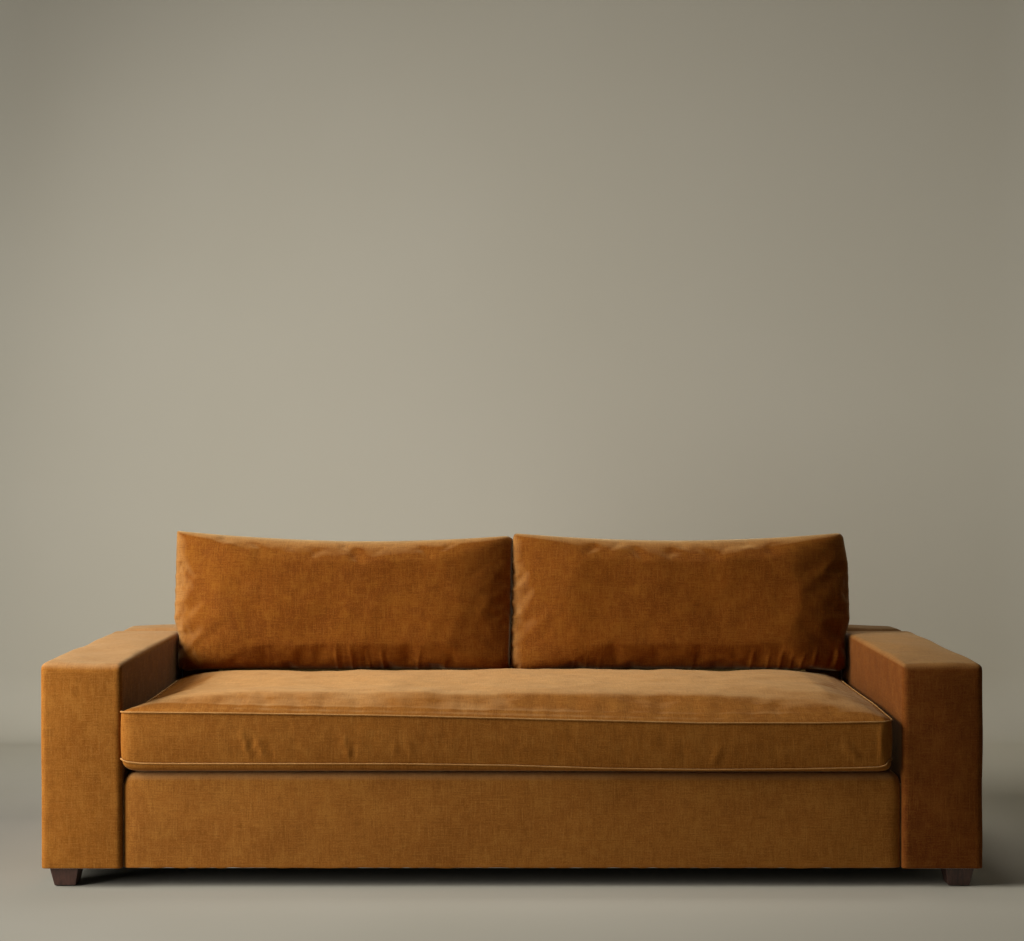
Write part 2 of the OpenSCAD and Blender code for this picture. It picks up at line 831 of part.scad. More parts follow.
// Tapered leg with the bore for its bolt
module leg(place) {
    half = leg_top_w / 2;
    foot = leg_foot_w / 2;
    outline = [[-foot, glide_t], [foot, glide_t], [half, leg_h], [-half, leg_h]];
    color(leg_wood)
        translate([place.x, place.y, 0])
            difference() {
                intersection() {
                    along_x(-half, half)
                        polygon(outline);
                    along_y(-half, half)
                        polygon(outline);
                }
                translate([0, 0, leg_h - bolt_in_leg])
                    cylinder(d = bolt_d, h = bolt_in_leg + over, $fn = 48);
            }
}
module leg_bolts() {
    color(steel)
        for (p = leg_places)
            translate([p.x, p.y, leg_h - bolt_in_leg])
                cylinder(d = bolt_d, h = bolt_in_leg + cross_rail_h + bolt_tail, $fn = 48);
}
module leg_tee_nuts() {
    color(steel)
        for (p = leg_places)
            translate([p.x, p.y, cross_top])
                difference() {
                    union() {
                        cylinder(d = tee_flange_d, h = tee_flange_t, $fn = 48);
                        translate([0, 0, -tee_barrel_l])
                            cylinder(d = tee_barrel_d, h = tee_barrel_l + tee_flange_t, $fn = 48);
                    }
                    translate([0, 0, -tee_barrel_l - over])
                        cylinder(d = bolt_d, h = 2 * tee_barrel_l + tee_flange_t, $fn = 48);
                }
}
module floor_glides() {
    color(nylon)
        for (p = leg_places)
            translate([p.x, p.y, 0])
                cylinder(d = glide_d, h = glide_t, $fn = 48);
}

module seat_top_panel() {
    color(velvet_top)
        loft(concat([for (k = [len(crown_inner) - 1:-1:0]) crown_ring(crown_inner[k], cover_t)],
            [for (i = [0:len(crown_shares) - 1]) crown_ring(i, 0)]),
            back_bands = len(crown_inner) - 1);
}
module seat_boxing() {
    high = 1 - swell_low_share;
    color(velvet)
        loft([boxing_ring(0, 0), boxing_ring(swell_low_share, 0), boxing_ring(high, 0),
            boxing_ring(1, 0), boxing_ring(1, cover_t), boxing_ring(0, cover_t)], loop = true);
}
module seat_bottom_panel() {
    color(velvet)
        loft([belly_ring(1, 0), belly_ring(0.5, 0), belly_ring(0, 0), belly_ring(0, cover_t),
            belly_ring(1, cover_t)]);
}

// A welt rolled outside a sewn edge, tilted up or down by half a right angle
module seat_welt(z, up) {
    sides = 5;
    off = welt_r * sqrt(0.5);
    loft([for (k = [0:sides - 1]) let (t = 360 / sides * k)
        seat_ring(seat_a + off + welt_r * cos(t), seat_b + off + welt_r * cos(t),
            seat_corner_r + off + welt_r * cos(t), z + up * off + welt_r * sin(t),
            seat_draw)], loop = true);
}
module seat_welts() {
    color(velvet) {
        seat_welt(seam_high, 1);
        seat_welt(seam_low, -1);
    }
}
module seat_core(g) {
    block([seat_c.x - seat_a + wrap_t - g, seat_front + wrap_t - g, seat_floor + wrap_t - g],
        [seat_c.x + seat_a - wrap_t + g, seat_rear - wrap_t + g,
            seat_floor + wrap_t + core_h + g]);
}
module seat_fibre_wrap() {
    g = cover_t + fill_gap;
    color(wadding)
        difference() {
            loft(concat([belly_ring(1, g), boxing_ring(0, g)],
                [for (k = crown_inner) crown_ring(k, g)]));
            seat_core(fill_gap);
        }
}
module seat_foam_core() {
    color(foam)
        seat_core(0);
}

// A zip's chain, and a slider that runs on it, both along X with the cloth on their +Z side
module zip_chain(l) {
    block([-l / 2, -chain_w / 2, -chain_t], [l / 2, chain_w / 2, 0]);
}
module zip_slider() {
    gap = chain_w / 2 + slider_gap;
    lift = chain_t / 2 - slider_h;
    difference() {
        block([-slider_l / 2, -slider_w / 2, lift - slider_gap - chain_t / 2],
            [slider_l / 2, slider_w / 2, -chain_t / 2]);
        block([-slider_l / 2 - over, -gap, -chain_t - slider_gap],
            [slider_l / 2 + over, gap, over]);
    }
}
// Onto the middle of the cushion's rear boxing
module on_seat_rear() {
    translate([seat_c.x, seat_rear + boxing_swell, seam_low + boxing_h / 2])
        rotate([90, 0, 0])
            children();
}
module seat_zip() {
    color(brass)
        on_seat_rear()
            zip_chain(seat_zip_l);
}
module seat_zip_slider() {
    color(brass)
        on_seat_rear()
            translate([(slider_l - seat_zip_l) / 2, 0, 0])
                zip_slider();
}

// Onto a back cushion, which side of the middle it is on
module on_back(side) {
    translate([side * cushion_x, 0, 0])
        children();
}
function back_rings(rings) = [for (r = rings) [for (p = r) leaned(p, cushion_z)]];
module back_front_panel() {
    color(velvet)
        loft(back_rings(concat(
            [for (k = [len(front_inner) - 1:-1:0]) front_ring(front_inner[k], cover_t)],
            [for (i = [0:len(front_shares) - 1]) front_ring(i, 0)])),
            back_bands = len(front_inner) - 1);
}
module back_rear_panel() {
    color(velvet)
        loft(back_rings(concat(
            [for (i = [len(rear_shares) - 1:-1:0]) rear_ring(i, 0)],
            [for (k = rear_inner) rear_ring(k, cover_t)])),
            back_bands = len(rear_shares) - 1);
}
module back_filling() {
    g = cover_t + fill_gap;
    color(wadding)
        loft(back_rings(concat(
            [for (k = [len(rear_inner) - 1:-1:1]) rear_ring(rear_inner[k], g)],
            [for (k = front_inner) front_ring(k, g)])),
            back_bands = len(rear_inner) - 1);
}
// Onto the bottom seam of a back cushion, below the drawn-up cloth
module on_back_seam(side) {
    translate([side * cushion_x, seam_y(cushion_z), cushion_z])
        rotate([-rake, 0, 0])
            translate([0, 0, ear_lift + zip_recess - chain_t / 3])
                children();
}
module back_zip(side) {
    color(brass)
        on_back_seam(side)
            zip_chain(back_zip_l);
}
module back_zip_slider(side) {
    color(brass)
        on_back_seam(side)
            translate([side * (back_zip_l - slider_l) / 2, 0, 0])
                zip_slider();
}

front_rail();
rear_rail();
spring_rail();
side_rails();
cross_rails();
leg_blocks();
arm_front_panels();
arm_rear_panels();
arm_top_boards();
arm_inner_rails();
arm_studs();
arm_side_panels();
back_end_posts();
back_posts();
back_top_board();
back_lower_rails();
back_outer_panel();
seat_springs();
spring_clips();
spring_tie_wires();
back_webbing();
arm_webbing();
left_arm_padding();
right_arm_padding();
back_padding();
rail_padding();
deck_pad();
deck_cloth();
left_arm_cover();
right_arm_cover();
back_cover();
rail_cover();
dust_cover();
leg(leg_places[0]);  // front_left_leg
leg(leg_places[1]);  // front_right_leg
leg(leg_places[2]);  // rear_left_leg
leg(leg_places[3]);  // rear_right_leg
leg(leg_places[4]);  // center_leg
leg_bolts();
leg_tee_nuts();
floor_glides();
seat_top_panel();
seat_boxing();
seat_bottom_panel();
seat_welts();
seat_fibre_wrap();
seat_foam_core();
seat_zip();
seat_zip_slider();
on_back(-1) back_front_panel();  // left_back_front_panel
on_back(-1) back_rear_panel();  // left_back_rear_panel
on_back(-1) back_filling();  // left_back_filling
back_zip(-1);  // left_back_zip
back_zip_slider(-1);  // left_back_zip_slider
on_back(1) back_front_panel();  // right_back_front_panel
on_back(1) back_rear_panel();  // right_back_rear_panel
on_back(1) back_filling();  // right_back_filling
back_zip(1);  // right_back_zip
back_zip_slider(1);  // right_back_zip_slider
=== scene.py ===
import math

import bmesh
import bpy
import numpy as np
from mathutils import Matrix, Vector
from mathutils.bvhtree import BVHTree
from mathutils.kdtree import KDTree


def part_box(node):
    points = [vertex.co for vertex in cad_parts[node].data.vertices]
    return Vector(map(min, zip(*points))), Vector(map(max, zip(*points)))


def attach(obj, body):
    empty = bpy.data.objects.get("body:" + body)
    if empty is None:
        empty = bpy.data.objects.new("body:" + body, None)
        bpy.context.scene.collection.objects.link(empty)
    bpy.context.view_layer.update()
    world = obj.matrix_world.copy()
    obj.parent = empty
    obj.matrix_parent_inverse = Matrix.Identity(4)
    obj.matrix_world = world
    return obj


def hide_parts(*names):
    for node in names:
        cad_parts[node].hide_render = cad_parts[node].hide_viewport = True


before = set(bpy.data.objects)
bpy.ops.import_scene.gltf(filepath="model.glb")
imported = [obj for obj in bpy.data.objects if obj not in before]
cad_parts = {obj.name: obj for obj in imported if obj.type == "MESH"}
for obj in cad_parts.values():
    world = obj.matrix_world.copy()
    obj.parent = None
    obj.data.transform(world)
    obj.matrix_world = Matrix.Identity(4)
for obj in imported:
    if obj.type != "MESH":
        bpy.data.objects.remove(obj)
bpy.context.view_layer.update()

# Sizes in metres. The first ones, down to the rail's, repeat the part's source.
RAKE = math.radians(10)
COVER_T = 0.002
PAD_T = 0.012
PANEL_T = COVER_T * 0.6
BACK_TOP_Y = 0.360
ARM_BOARD_Z = 0.548
ARM_PANEL_Y = -0.484
BACK_EDGE_R = 0.030
BACK_END_R = 0.040
RAIL_EDGE_R = 0.025
RAIL_END_R = 0.028
# The covers' other edges, and the gap between neighbours
ARM_EDGE_R = 0.018
ARM_FRONT_R = 0.005
BACK_TOP_R = 0.034
RAIL_TOP_R = 0.026
RAIL_FOLD_R = 0.012
DECK_TOP_R = 0.019
CLEARANCE = 0.0012
# What fills the cushions: how deep it lies under their cloth, and the seat's fibre wrap
UNDER_PANEL = 0.004
SEAT_WRAP_T = 0.018
# The seat cushion
SEAM_HIGH = 0.4424
SEAM_LOW = 0.3024
SEAT_CROWN = 0.038
SEAT_CORNER_R = 0.026
SEAT_DRAW = 0.005
BOXING_SWELL = 0.003
SEAT_BELLY = 0.006
WELT_R = 0.0022
SEAT_SAG = 0.014
CORNER_SWELL = 0.014
# The back cushions
BACK_CUSHION_H = 0.424
FRONT_SWELL = 0.098
REAR_SWELL = 0.078
TOP_DIP = 0.022
ZIP_RECESS = 0.008
EAR_LIFT = 0.0064
OVER_ARM = 0.015
TOUCH_SWELL = 0.012
TOUCH_SLANT = 0.14
# How far each cushion's top seam stands up at its inner corner, its middle and its outer corner
TOP_RISE = {-1: (-0.003, 0.0025, 0.012), 1: (0.005, 0.004, 0.006)}
# Radii of the outline's corners: the outer ear of each cushion, the inner ear and the foot
EAR_R = {-1: 0.004, 1: 0.020}
INNER_EAR_R = 0.018
FOOT_CORNER_R = 0.034
# How square the front and the rear swell out towards their sides, top and foot
FRONT_DOME = (9, 18, 12)
REAR_DOME = (7, 7, 7)
PUCKER_DEPTH = 0.0022
PUCKER_STEP = 0.040
# The zips
SEAT_ZIP_L = 1.400
BACK_ZIP_L = 0.7595
ZIP_PITCH = 0.0028
# Springs, straps and legs
SPRING_BARS = 21
SPRING_COUNT = 11
WIRE_T = 0.004
SPRING_BAR_W = 0.034
SPRING_BEND = 0.38
SPRING_BEND_R = 0.006
STRAP_T = 0.002
STRAP_W = 0.050
LEG_TAPER = 55 / 75
LEG_EASE_R = 0.0022
# Mesh widths
ARM_CELL = 0.009
BACK_CELL = 0.010
RAIL_CELL = 0.008
SEAT_CELL = 0.0085
SEAT_CLOTH_CELL = 0.017
PAD_CELL = 0.02
BACK_PAD_CELL = 0.024
FOAM_CELL = 0.03
CUSHION_GRID = (176, 76)
CUSHION_CLOTH_GRID = (88, 38)
DUST_CELL = 0.03

ALL_SIDES = ("-x", "+x", "-y", "+y", "-z", "+z")
RAIL_SIDES = ("-y", "-x", "+x", "+z")


# Meshes from arrays

def add_object(name, data):
    """A new object in the scene for a mesh, a lamp or a camera."""
    item = bpy.data.objects.new(name, data)
    bpy.context.scene.collection.objects.link(item)
    return item


def make_piece(name, points, faces, loop_uv=None):
    """A mesh object with its place in its mesh. loop_uv has one pair for each face corner."""
    mesh = bpy.data.meshes.new(name)
    mesh.from_pydata(np.asarray(points, float).tolist(), [], [list(map(int, f)) for f in faces])
    if loop_uv is not None:
        layer = mesh.uv_layers.new(name="weave")
        layer.data.foreach_set("uv", np.asarray(loop_uv, np.float32).ravel())
    mesh.shade_smooth()
    mesh.update()
    return add_object(name, mesh)


def from_bmesh(name, shape):
    """A mesh object from a bmesh, which is freed."""
    mesh = bpy.data.meshes.new(name)
    shape.to_mesh(mesh)
    shape.free()
    return add_object(name, mesh)


def points_of(piece):
    """A mesh's points as an array."""
    co = np.zeros(len(piece.data.vertices) * 3, np.float32)
    piece.data.vertices.foreach_get("co", co)
    return co.reshape(-1, 3).astype(float)


def set_points(piece, points):
    """Moves a mesh's points to the places in an array."""
    piece.data.vertices.foreach_set("co", np.asarray(points, np.float32).ravel())
    piece.data.update()


def normals_of(piece):
    """The normals at a mesh's points."""
    piece.data.update()
    n = np.zeros(len(piece.data.vertices) * 3, np.float32)
    piece.data.vertex_normals.foreach_get("vector", n)
    return n.reshape(-1, 3).astype(float)


def ramp(t, a, b):
    """Smooth step from 0 at a to 1 at b."""
    s = np.clip((t - a) / (b - a), 0, 1)
    return s * s * (3 - 2 * s)


def ripple(points, seed, length, terms=26):
    """Smooth noise of about unit height that varies over the given length."""
    rng = np.random.default_rng(seed)
    total = np.zeros(len(points))
    for _ in range(terms):
        way = rng.normal(size=3)
        way /= np.linalg.norm(way)
        wave = 2 * math.pi / (length * rng.uniform(0.7, 1.6))
        total += np.sin(points @ way * wave + rng.uniform(0, 2 * math.pi))
    return total / math.sqrt(terms / 2)


def panel_grid(lo, hi, axis, side, counts):
    """One face of a box as a grid with counts cells each way: its points, and its quads turned
    outwards."""
    i, j = [(1, 2), (0, 2), (0, 1)][axis]
    n, m = counts[i], counts[j]
    a, b = np.meshgrid(np.linspace(lo[i], hi[i], n + 1), np.linspace(lo[j], hi[j], m + 1),
                       indexing="ij")
    points = np.zeros(((n + 1) * (m + 1), 3))
    points[:, i] = a.ravel()
    points[:, j] = b.ravel()
    points[:, axis] = hi[axis] if side > 0 else lo[axis]
    s, t = np.meshgrid(np.arange(n), np.arange(m), indexing="ij")
    v = (s * (m + 1) + t).ravel()
    quads = np.stack([v, v + m + 1, v + m + 2, v + 1], axis=1)
    if (side > 0) == (axis == 1):
        quads = quads[:, ::-1]
    return points, quads


def box_skin(lo, hi, cell, sides):
    """Grids over the named sides of a box, joined at their edges. Returns the points, the quads,
    the corner UVs in metres and the side that each quad is on."""
    lo, hi = np.array(lo, float), np.array(hi, float)
    counts = [max(1, round((hi[k] - lo[k]) / cell)) for k in range(3)]
    names = {"-x": (0, -1), "+x": (0, 1), "-y": (1, -1), "+y": (1, 1), "-z": (2, -1), "+z": (2, 1)}
    points, quads, uvs, kinds = [], [], [], []
    count = 0
    for index, key in enumerate(sides):
        axis, side = names[key]
        p, q = panel_grid(lo, hi, axis, side, counts)
        i, j = [(1, 2), (0, 2), (0, 1)][axis]
        flat = p[:, [i, j]] + 0.37 * index
        points.append(p)
        quads.append(q + count)
        uvs.append(flat[q.ravel()])
        kinds.append(np.full(len(q), index))
        count += len(p)
    points = np.concatenate(points)
    quads = np.concatenate(quads)
    _, first, back = np.unique(np.round(points, 6), axis=0, return_index=True, return_inverse=True)
    return points[first], back.ravel()[quads], np.concatenate(uvs), np.concatenate(kinds)


def rounded(points, lo, hi, radii):
    """Box points with their edges rounded. radii holds a low and a high radius for each axis, and
    0 leaves that end of the box square."""
    lo, hi = np.array(lo, float), np.array(hi, float)
    reach = np.zeros_like(points)
    size = np.ones_like(points)
    for k in range(3):
        for radius, edge, way in ((radii[k][0], lo[k], -1), (radii[k][1], hi[k], 1)):
            if radius > 0:
                inside = way * (points[:, k] - (edge - way * radius))
                far = inside > 0
                reach[far, k] = way * inside[far] / radius
                size[far, k] = radius
    length = np.linalg.norm(reach, axis=1)
    unit = np.max(np.abs(reach), axis=1)
    shrink = np.where(length > 0, unit / np.maximum(length, 1e-9), 1)
    core = points - reach * size
    return core + reach * size * shrink[:, None]


def keep_faces(points, quads, uvs, kinds, keep):
    """The faces that keep marks, without the points that they leave unused."""
    uvs = uvs.reshape(len(quads), -1, 2)[keep].reshape(-1, 2)
    quads, kinds = quads[keep], kinds[keep]
    used, back = np.unique(quads, return_inverse=True)
    return points[used], back.reshape(quads.shape), uvs, kinds


def thicken(piece, thickness, offset=-1):
    """Gives a sheet its wall, inwards, or to both sides where offset is 0."""
    wall = piece.modifiers.new("thickness", "SOLIDIFY")
    wall.thickness = thickness
    wall.offset = offset
    wall.use_even_offset = False
    return piece


def soften(piece):
    """Rounds a mesh off with one finer level."""
    finer = piece.modifiers.new("finer", "SUBSURF")
    finer.levels = finer.render_levels = 1
    finer.uv_smooth = "PRESERVE_BOUNDARIES"
    return piece


def finish_piece(piece, material, slot, body, node):
    """Gives a piece its material and its body, and hides the CAD node that it stands for; slot is not
    used.
    """
    piece.data.materials.clear()
    piece.data.materials.append(material)
    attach(piece, body)
    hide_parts(node)


def finish_soft(piece, fill, *finish):
    finish_piece(piece, *finish)


# Materials

class Nodes:
    """Short ways to add and link shader nodes."""

    def __init__(self, name):
        self.material = bpy.data.materials.new(name)
        self.material.use_nodes = True
        self.tree = self.material.node_tree
        self.shader = self.tree.nodes["Principled BSDF"]

    def add(self, kind, **settings):
        node = self.tree.nodes.new("ShaderNode" + kind)
        for key, value in settings.items():
            setattr(node, key, value)
        return node

    def link(self, a, b):
        self.tree.links.new(a, b)

    def coordinates(self, source, scale=(1, 1, 1), turn=(0, 0, 0)):
        place = self.add("TexCoord")
        mapping = self.add("Mapping")
        mapping.inputs["Scale"].default_value = scale
        mapping.inputs["Rotation"].default_value = turn
        self.link(place.outputs[source], mapping.inputs["Vector"])
        return mapping.outputs["Vector"]

    def noise(self, vector, scale, detail=2.0, rough=0.5, distortion=0.0):
        node = self.add("TexNoise")
        node.inputs["Scale"].default_value = scale
        node.inputs["Detail"].default_value = detail
        node.inputs["Roughness"].default_value = rough
        node.inputs["Distortion"].default_value = distortion
        self.link(vector, node.inputs["Vector"])
        return node.outputs["Fac"]

    def spread(self, value, low, high, out_low=0.0, out_high=1.0):
        node = self.add("MapRange")
        node.clamp = True
        self.link(value, node.inputs["Value"])
        for key, number in (("From Min", low), ("From Max", high), ("To Min", out_low),
                            ("To Max", out_high)):
            node.inputs[key].default_value = number
        return node.outputs["Result"]

    def maths(self, kind, a, b):
        node = self.add("Math", operation=kind)
        for socket, value in zip(node.inputs, (a, b)):
            if isinstance(value, (int, float)):
                socket.default_value = value
            else:
                self.link(value, socket)
        return node.outputs["Value"]

    def mix(self, share, a, b, blend="MIX"):
        node = self.add("Mix", data_type="RGBA", blend_type=blend)
        for key, value in (("Factor", share), ("A", a), ("B", b)):
            socket = [s for s in node.inputs if s.name == key and s.enabled][0]
            if isinstance(value, (int, float)):
                socket.default_value = value
            elif isinstance(value, tuple):
                socket.default_value = (*value, 1)
            else:
                self.link(value, socket)
        return [s for s in node.outputs if s.enabled][0]

    def bump(self, height, distance, strength=1.0, under=None):
        node = self.add("Bump")
        node.inputs["Distance"].default_value = distance
        node.inputs["Strength"].default_value = strength
        self.link(height, node.inputs["Height"])
        if under is not None:
            self.link(under, node.inputs["Normal"])
        return node.outputs["Normal"]

    def set(self, **values):
        for key, value in values.items():
            socket = self.shader.inputs[key.replace("_", " ")]
            if isinstance(value, tuple):
                socket.default_value = (*value, 1) if len(value) == 3 else value
            elif isinstance(value, (int, float)):
                socket.default_value = value
            else:
                self.link(value, socket)
        return self.material


def velvet_finish(name, deep, mid, light, painted_light_tone, bloom=0.16, upward=(0.25, 0.98),
                  left_face_light=0.0, right_face_shade=0.0):
    """Ochre velvet with a slubbed linen ground: long thin slubs both ways, soft nap marks, and a
    painted top light, a paler tone where the cloth faces up, a little uneven with the nap marks.
    bloom is its sheen, and upward says how far a face has to look up before the painted top
    light begins and is full. Faces that look left may get painted light, and faces that look
    right painted shade."""
    m = Nodes(name)
    across = m.noise(m.coordinates("UV", (19, 330, 1)), 1.0, 2.0, 0.6, 0.15)
    along = m.noise(m.coordinates("UV", (310, 17, 1)), 1.0, 2.0, 0.6, 0.15)
    ground = m.noise(m.coordinates("UV", (1, 1, 1)), 460, 3.0, 0.7)
    nap = m.noise(m.coordinates("Object", (1.0, 1.2, 1.5)), 3.4, 4.0, 0.55, 0.25)
    marks = m.noise(m.coordinates("Object", (1.0, 1.6, 1.3), (0.3, 0.2, 0.5)), 15.0, 3.0, 0.6, 0.3)
    brushed = m.noise(m.coordinates("Object", (1.4, 1.4, 0.7)), 42.0, 3.0, 0.65, 0.5)
    speckle = m.noise(m.coordinates("UV"), 250.0, 2.0, 0.75)
    slubs = m.maths("MAXIMUM", m.spread(across, 0.54, 0.72), m.spread(along, 0.54, 0.71))
    thin = m.maths("MAXIMUM", m.spread(across, 0.46, 0.29), m.spread(along, 0.46, 0.29))
    tone = m.mix(m.spread(nap, 0.34, 0.66), deep, mid)
    tone = m.mix(m.spread(marks, 0.48, 0.72, 0.0, 0.45), tone, light)
    dark = tuple(0.62 * c for c in deep)
    facing = m.add("SeparateXYZ")
    m.link(m.add("NewGeometry").outputs["Normal"], facing.inputs[0])
    # Painted top light: faces that look up are mixed towards the pale top tone, a little unevenly
    # along the nap marks.
    wear_and_painted_top_light = m.maths("MULTIPLY", m.spread(facing.outputs["Z"], *upward),
                   m.spread(marks, 0.30, 0.62, 0.72, 1.0))
    tone = m.mix(wear_and_painted_top_light, tone, painted_light_tone)
    # Painted light on faces that look left, towards the windows, and painted shade on faces that look
    # right.
    if left_face_light:
        tone = m.mix(m.spread(facing.outputs["X"], -0.45, -0.90, 0.0, left_face_light), tone, painted_light_tone)
    if right_face_shade:
        tone = m.mix(m.spread(facing.outputs["X"], 0.60, 0.92, 0.0, right_face_shade), tone, dark)
    # On faces that look up, the lighter and darker tones of the slubs, brushing and speckle follow the
    # painted top light too.
    light = m.mix(wear_and_painted_top_light, light, tuple(1.22 * c for c in painted_light_tone))
    dark = m.mix(wear_and_painted_top_light, dark, tuple(0.66 * c for c in painted_light_tone))
    tone = m.mix(m.spread(brushed, 0.50, 0.70, 0.0, 0.40), tone, light)
    tone = m.mix(m.spread(brushed, 0.48, 0.28, 0.0, 0.34), tone, dark)
    tone = m.mix(m.maths("MULTIPLY", slubs, 0.60), tone, light)
    tone = m.mix(m.maths("MULTIPLY", thin, 0.42), tone, dark)
    tone = m.mix(m.spread(speckle, 0.52, 0.68, 0.0, 0.50), tone, light)
    tone = m.mix(m.spread(speckle, 0.48, 0.32, 0.0, 0.42), tone, dark)
    height = m.maths("ADD", m.maths("MULTIPLY", slubs, 0.6), m.maths("MULTIPLY", ground, 0.7))
    bump = m.bump(height, 0.0006, 0.5)
    rough = m.spread(marks, 0.3, 0.7, 0.80, 0.95)
    return m.set(Base_Color=tone, Roughness=rough, Specular_IOR_Level=0.08, Sheen_Weight=bloom,
                 Sheen_Roughness=0.28, Sheen_Tint=(1.0, 0.82, 0.48), Normal=bump)


def timber_finish():
    """Planed pine with growth rings that run along X."""
    m = Nodes("pine_timber")
    dark = (0.44, 0.27, 0.13)
    rings = m.noise(m.coordinates("Object", (1.2, 26, 26)), 1.0, 3.0, 0.6, 0.8)
    pores = m.noise(m.coordinates("Object", (14, 700, 700)), 1.0, 1.0)
    tone = m.mix(m.spread(rings, 0.3, 0.7), dark, (0.66, 0.46, 0.25))
    tone = m.mix(m.spread(pores, 0.55, 0.75, 0.0, 0.35), tone, dark)
    bump = m.bump(m.maths("ADD", rings, pores), 0.0004, 0.4)
    return m.set(Base_Color=tone, Roughness=m.spread(rings, 0.3, 0.7, 0.62, 0.74),
                 Specular_IOR_Level=0.35, Normal=bump)


def plywood_finish():
    """Rotary cut plywood with its plies showing as thin bands over the height of an edge."""
    m = Nodes("plywood")
    figure = m.noise(m.coordinates("Object", (2.2, 5, 9)), 2.0, 3.0, 0.55, 2.2)
    plies = m.noise(m.coordinates("Object", (0.5, 0.5, 420)), 1.0, 0.0)
    tone = m.mix(m.spread(figure, 0.32, 0.68), (0.50, 0.33, 0.17), (0.68, 0.50, 0.29))
    tone = m.mix(m.spread(plies, 0.5, 0.62, 0.0, 0.3), tone, (0.36, 0.22, 0.11))
    return m.set(Base_Color=tone, Roughness=0.7, Specular_IOR_Level=0.3,
                 Normal=m.bump(figure, 0.0005, 0.3))


def leg_finish():
    """Dark stained hardwood under a thin satin lacquer, with the grain standing upright."""
    m = Nodes("stained_leg_wood")
    grain = m.noise(m.coordinates("Object", (90, 90, 7)), 1.0, 4.0, 0.6, 1.2)
    pores = m.noise(m.coordinates("Object", (900, 900, 40)), 1.0, 1.0)
    wear_and_painted_top_light = m.noise(m.coordinates("Object"), 22.0, 3.0, 0.6)
    tone = m.mix(m.spread(grain, 0.3, 0.7), (0.026, 0.011, 0.008), (0.085, 0.034, 0.024))
    tone = m.mix(m.spread(pores, 0.6, 0.75, 0.0, 0.6), tone, (0.015, 0.007, 0.005))
    tone = m.mix(m.spread(wear_and_painted_top_light, 0.6, 0.8, 0.0, 0.25), tone, (0.14, 0.07, 0.05))
    return m.set(Base_Color=tone, Roughness=m.spread(wear_and_painted_top_light, 0.3, 0.7, 0.34, 0.5),
                 Specular_IOR_Level=0.45, Coat_Weight=0.25, Coat_Roughness=0.22,
                 Normal=m.bump(m.maths("ADD", grain, pores), 0.0003, 0.35))


def metal_finish(name, dark, pale, rough):
    """Drawn metal with fine lengthwise scratches and a few dull spots."""
    m = Nodes(name)
    drawn = m.noise(m.coordinates("Object", (30, 900, 900)), 1.0, 2.0)
    spots = m.noise(m.coordinates("Object"), 60.0, 3.0, 0.6)
    tone = m.mix(m.spread(spots, 0.4, 0.7), pale, dark)
    return m.set(Base_Color=tone, Metallic=1.0, Normal=m.bump(drawn, 0.0001, 0.3),
                 Roughness=m.spread(spots, 0.3, 0.7, rough, rough + 0.2))


def wadding_finish():
    """White polyester fibre with soft tufts."""
    m = Nodes("polyester_wadding")
    tufts = m.noise(m.coordinates("Object"), 38.0, 5.0, 0.7, 0.6)
    fibre = m.noise(m.coordinates("Object", (1, 1.6, 1)), 420.0, 3.0, 0.7, 1.5)
    tone = m.mix(m.spread(tufts, 0.3, 0.7), (0.66, 0.65, 0.62), (0.86, 0.86, 0.84))
    bump = m.bump(m.maths("ADD", tufts, m.maths("MULTIPLY", fibre, 0.4)), 0.003, 0.6)
    return m.set(Base_Color=tone, Roughness=0.95, Specular_IOR_Level=0.1, Sheen_Weight=0.3,
                 Sheen_Roughness=0.6, Normal=bump)


def foam_finish():
    """Cut polyurethane foam: open cells and a slight yellowing towards its faces."""
    m = Nodes("cushion_foam")
    cells = m.add("TexVoronoi", feature="DISTANCE_TO_EDGE")
    cells.inputs["Scale"].default_value = 700.0
    m.link(m.coordinates("Object"), cells.inputs["Vector"])
    age = m.noise(m.coordinates("Object"), 5.0, 3.0, 0.6)
    holes = m.spread(cells.outputs["Distance"], 0.0, 0.12)
    tone = m.mix(m.spread(age, 0.35, 0.65), (0.82, 0.70, 0.42), (0.86, 0.78, 0.56))
    # Painted shade: the foam darkens along its cell edges, in the grooves that the bump sinks there.
    tone = m.mix(m.spread(holes, 0.0, 1.0, 0.35, 0.0), tone, (0.42, 0.33, 0.17))
    return m.set(Base_Color=tone, Roughness=0.9, Specular_IOR_Level=0.15,
                 Normal=m.bump(holes, 0.0004, 0.6))


def woven_finish(name, dark, pale, threads):
    """A plain weave of crossing threads, threads to the metre."""
    m = Nodes(name)
    warp = m.add("TexWave", wave_type="BANDS", bands_direction="X")
    weft = m.add("TexWave", wave_type="BANDS", bands_direction="Y")
    for node in (warp, weft):
        node.inputs["Scale"].default_value = threads / 20
        node.inputs["Distortion"].default_value = 0.4
        node.inputs["Detail"].default_value = 1.0
        m.link(m.coordinates("UV"), node.inputs["Vector"])
    cloth = m.maths("MULTIPLY", warp.outputs["Fac"], weft.outputs["Fac"])
    uneven = m.noise(m.coordinates("Object"), 30.0, 3.0, 0.6)
    tone = m.mix(m.spread(cloth, 0.1, 0.7), dark, pale)
    tone = m.mix(m.spread(uneven, 0.4, 0.7, 0.0, 0.3), tone, dark)
    return m.set(Base_Color=tone, Roughness=0.85, Specular_IOR_Level=0.2,
                 Normal=m.bump(cloth, 0.0004, 0.6))


def nylon_finish():
    """Turned nylon, a little scuffed where it meets the floor."""
    m = Nodes("nylon_glide")
    scuffs = m.noise(m.coordinates("Object", (60, 60, 9)), 6.0, 3.0, 0.7)
    tone = m.mix(m.spread(scuffs, 0.45, 0.75), (0.72, 0.71, 0.67), (0.42, 0.41, 0.38))
    return m.set(Base_Color=tone, Roughness=m.spread(scuffs, 0.3, 0.7, 0.3, 0.6),
                 Normal=m.bump(scuffs, 0.0002, 0.3))
